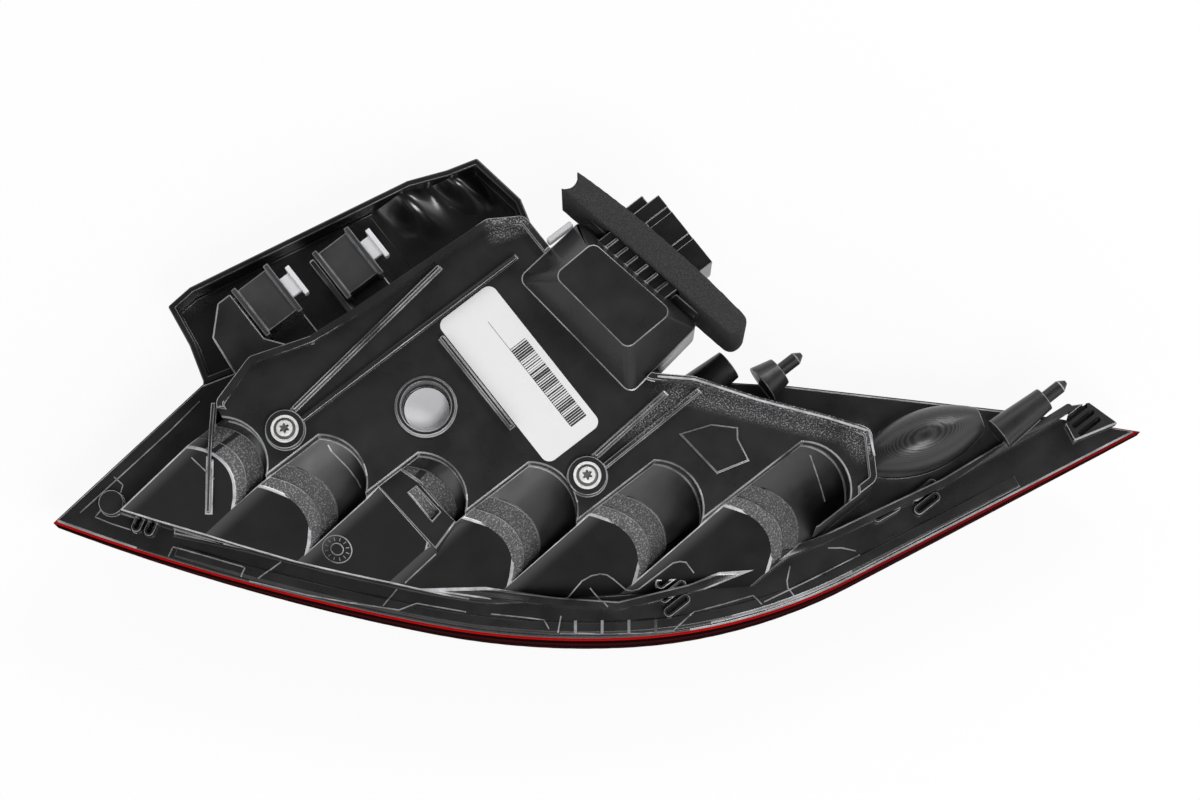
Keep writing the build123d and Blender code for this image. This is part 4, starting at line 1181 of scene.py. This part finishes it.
solid = ray_tree(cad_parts["rear_housing"].data)
mould_chains = [[plan_point(solid, u, v) for u, v in line] for line in PHOTO_LINES.values()]
print("mould lines placed:", len(mould_chains))

# %% [markdown]
# A thin bead is laid along each line. A curve with a round section could do it, but it would float over
# steps and cut through barrels. So every step of the bead drops on to the housing straight below and
# follows the flange, the slopes and the barrels alike. A wider bead in the palest finish stands in for the
# highlight along the rounded rim of the deck: a painted highlight.

# %% Mould lines and painted rim highlight
RIM_CHAINS = [[(45.5, -9.5), (57.3, -20.4), (73.0, -44.0), (92.0, -69.0), (102.4, -84.2), (97.5, -94.0)]]
LINE_HALF, RIM_HALF = 0.28, 0.45
BEAD_UP, BEAD_DOWN, BEAD_STEP = 0.30, 0.5, 1.2
DROP_FROM = 0.13


def steps_along(line, step):
    """Points a step apart on a chain of plan points, and the direction at each."""
    out = []
    for (x0, y0), (x1, y1) in zip(line, line[1:]):
        count = max(1, round(math.hypot(x1 - x0, y1 - y0) / step))
        run = Vector((x1 - x0, y1 - y0)).normalized()
        out += [(Vector((x0 + (x1 - x0) * k / count, y0 + (y1 - y0) * k / count)), run) for k in range(count)]
    out.append((Vector(line[-1]), out[-1][1]))
    return out


def lay_bead(bm, ground, line, half):
    """Lay one closed bead of square section on the ground under a line."""
    sections = []
    for place, run in steps_along(line, BEAD_STEP):
        top = spot(place.x, place.y, 0.0)
        hit = ground.ray_cast(Vector((top.x, top.y, DROP_FROM)), -UPWARD)[0]
        if hit is None:
            continue
        side = Vector((-run.y, run.x, 0.0)) * half * MM
        rise, sink = UPWARD * BEAD_UP * MM, -UPWARD * BEAD_DOWN * MM
        corners = (hit - side + sink, hit + side + sink, hit + side + rise, hit - side + rise)
        sections.append([bm.verts.new(corner) for corner in corners])
    for low, high in zip(sections, sections[1:]):
        for k in range(4):
            n = (k + 1) % 4
            bm.faces.new((low[k], low[n], high[n], high[k]))
    bm.faces.new(list(reversed(sections[0])))
    bm.faces.new(sections[-1])


def beads(name, chains, half, mat):
    """One piece with a bead along each chain of points."""
    ground = ray_tree(housing)
    bm = bmesh.new()
    for line in chains:
        lay_bead(bm, ground, line, half)
    bmesh.ops.recalc_face_normals(bm, faces=bm.faces)
    mesh = bpy.data.meshes.new(name)
    bm.to_mesh(mesh)
    bm.free()
    mesh.materials.append(mat)
    obj = bpy.data.objects.new(name, mesh)
    bpy.context.scene.collection.objects.link(obj)
    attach(obj, "root")
    print(name, len(chains), "with", len(mesh.polygons), "faces")


# The pale finish of the mould lines is a painted highlight.
beads("mould_lines", mould_chains, LINE_HALF, painted_line_highlight)
# The rim bead is a painted highlight on the rounded rim of the deck.
beads("rim_highlight_bead", RIM_CHAINS, RIM_HALF, painted_lip_highlight)

# %% [markdown]
# The rest of the solids are the film, the label, the pins of the plug and the works inside the lamp. They
# could be copied and rounded too, but they are small, flat or hidden, so they keep their own meshes and
# only need a finish.

# %% Dress the solids that stay
stay = {"vent_membrane": film_grey, "label": paper_mat, "inner_bezel": gloss_black, "led_board": board_mat,
        "driver_board": board_mat, "led_chips": chip_mat, "light_guide": clear_mat, "plug_pins": steel_mat}
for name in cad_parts:
    if name.startswith("reflector_cup"):
        stay[name] = mirror_mat
for name, mat in stay.items():
    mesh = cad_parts[name].data
    mesh.materials.clear()
    mesh.materials.append(mat)
print("kept solids dressed:", len(stay))

# %% [markdown]
# The lamp lies on a white sheet that has no visible end. A lit white floor would need so much light that
# the part turns pale. So the floor glows at just white for the camera and in mirrors, while a tenth of it
# is still lit by the lamps, which keeps the shadow of the part.

# %% Floor
FLOOR_HALF = 6.0
FLOOR_DROP = 0.0005
GLOW_SHARE = 0.9
CORNERS = [(-FLOOR_HALF, -FLOOR_HALF, 0), (FLOOR_HALF, -FLOOR_HALF, 0), (FLOOR_HALF, FLOOR_HALF, 0),
           (-FLOOR_HALF, FLOOR_HALF, 0)]
floor_mesh = bpy.data.meshes.new("floor")
floor_mesh.from_pydata(CORNERS, [], [(0, 1, 2, 3)])
floor = bpy.data.objects.new("floor", floor_mesh)
floor.location.z = -FLOOR_DROP
bpy.context.scene.collection.objects.link(floor)
mat, bsdf, nodes, links = shader("floor_white")
bsdf.inputs["Base Color"].default_value = (0.9, 0.9, 0.9, 1)
bsdf.inputs["Roughness"].default_value = 0.9
path = nodes.new("ShaderNodeLightPath")
glow = nodes.new("ShaderNodeEmission")
glow.inputs["Strength"].default_value = 1.0
glow.inputs["Color"].default_value = (1, 1, 1, 1)
seen = path.outputs["Is Camera Ray"]
for ray in ("Is Glossy Ray", "Is Transmission Ray"):
    either = nodes.new("ShaderNodeMath")
    either.operation = "MAXIMUM"
    links.new(seen, either.inputs[0])
    links.new(path.outputs[ray], either.inputs[1])
    seen = either.outputs[0]
share = nodes.new("ShaderNodeMath")
share.operation = "MULTIPLY"
share.inputs[1].default_value = GLOW_SHARE
links.new(seen, share.inputs[0])
mix = nodes.new("ShaderNodeMixShader")
links.new(share.outputs[0], mix.inputs["Fac"])
links.new(bsdf.outputs["BSDF"], mix.inputs[1])
links.new(glow.outputs["Emission"], mix.inputs[2])
links.new(mix.outputs["Shader"], nodes["Material Output"].inputs["Surface"])
floor_mesh.materials.append(mat)
print("floor", 2 * FLOOR_HALF, "m wide")

# %% [markdown]
# Black plastic is drawn by what it mirrors. Lamps alone give hard spots. So the world is a ring of soft
# light low around the part, which gives each rounded edge a bright line, and the sky straight above stays
# dark, so that flat faces stay black. Two soft boxes add a little direction: one behind the part, one on
# the near side.

# %% Light
RING = [(0.0, 0.5), (0.22, 0.6), (0.36, 1.3), (0.58, 1.3), (0.74, 0.3), (0.86, 0.09), (1.0, 0.06)]
PEAK = max(level for _, level in RING)
BACK_POWER, BACK_SIZE = 6.0, (0.9, 0.3)
NEAR_POWER, NEAR_SIZE = 12.5, (0.6, 0.6)
LAMP_TARGET = Vector((0.0, 0.0, 0.06))
world = bpy.data.worlds.new("studio")
bpy.context.scene.world = world
world.use_nodes = True
nodes, links = world.node_tree.nodes, world.node_tree.links
where = nodes.new("ShaderNodeTexCoord")
axes = nodes.new("ShaderNodeSeparateXYZ")
links.new(where.outputs["Generated"], axes.inputs["Vector"])
sky = ramp(nodes, links, axes.outputs["Z"], [(height, (level / PEAK,) * 3) for height, level in RING])
links.new(sky.outputs["Color"], nodes["Background"].inputs["Color"])
nodes["Background"].inputs["Strength"].default_value = PEAK


def lamp(name, place, size, power):
    """A soft box turned to the part."""
    data = bpy.data.lights.new(name, "AREA")
    data.shape = "RECTANGLE"
    data.size, data.size_y = size
    data.energy = power
    obj = bpy.data.objects.new(name, data)
    obj.location = place
    obj.rotation_euler = (LAMP_TARGET - place).to_track_quat("-Z", "Y").to_euler()
    bpy.context.scene.collection.objects.link(obj)


lamp("back_box", AIM + ahead * 1.0 + right * 0.6 + UPWARD * 1.0, BACK_SIZE, BACK_POWER)
lamp("near_box", AIM - ahead * 0.75 + right * 0.35 + UPWARD * 1.5, NEAR_SIZE, NEAR_POWER)
bpy.context.scene.view_settings.view_transform = "Standard"
print("light set")

# %% [markdown]
# The scene must not change the size of the part.

# %% Finish
print("scene done")
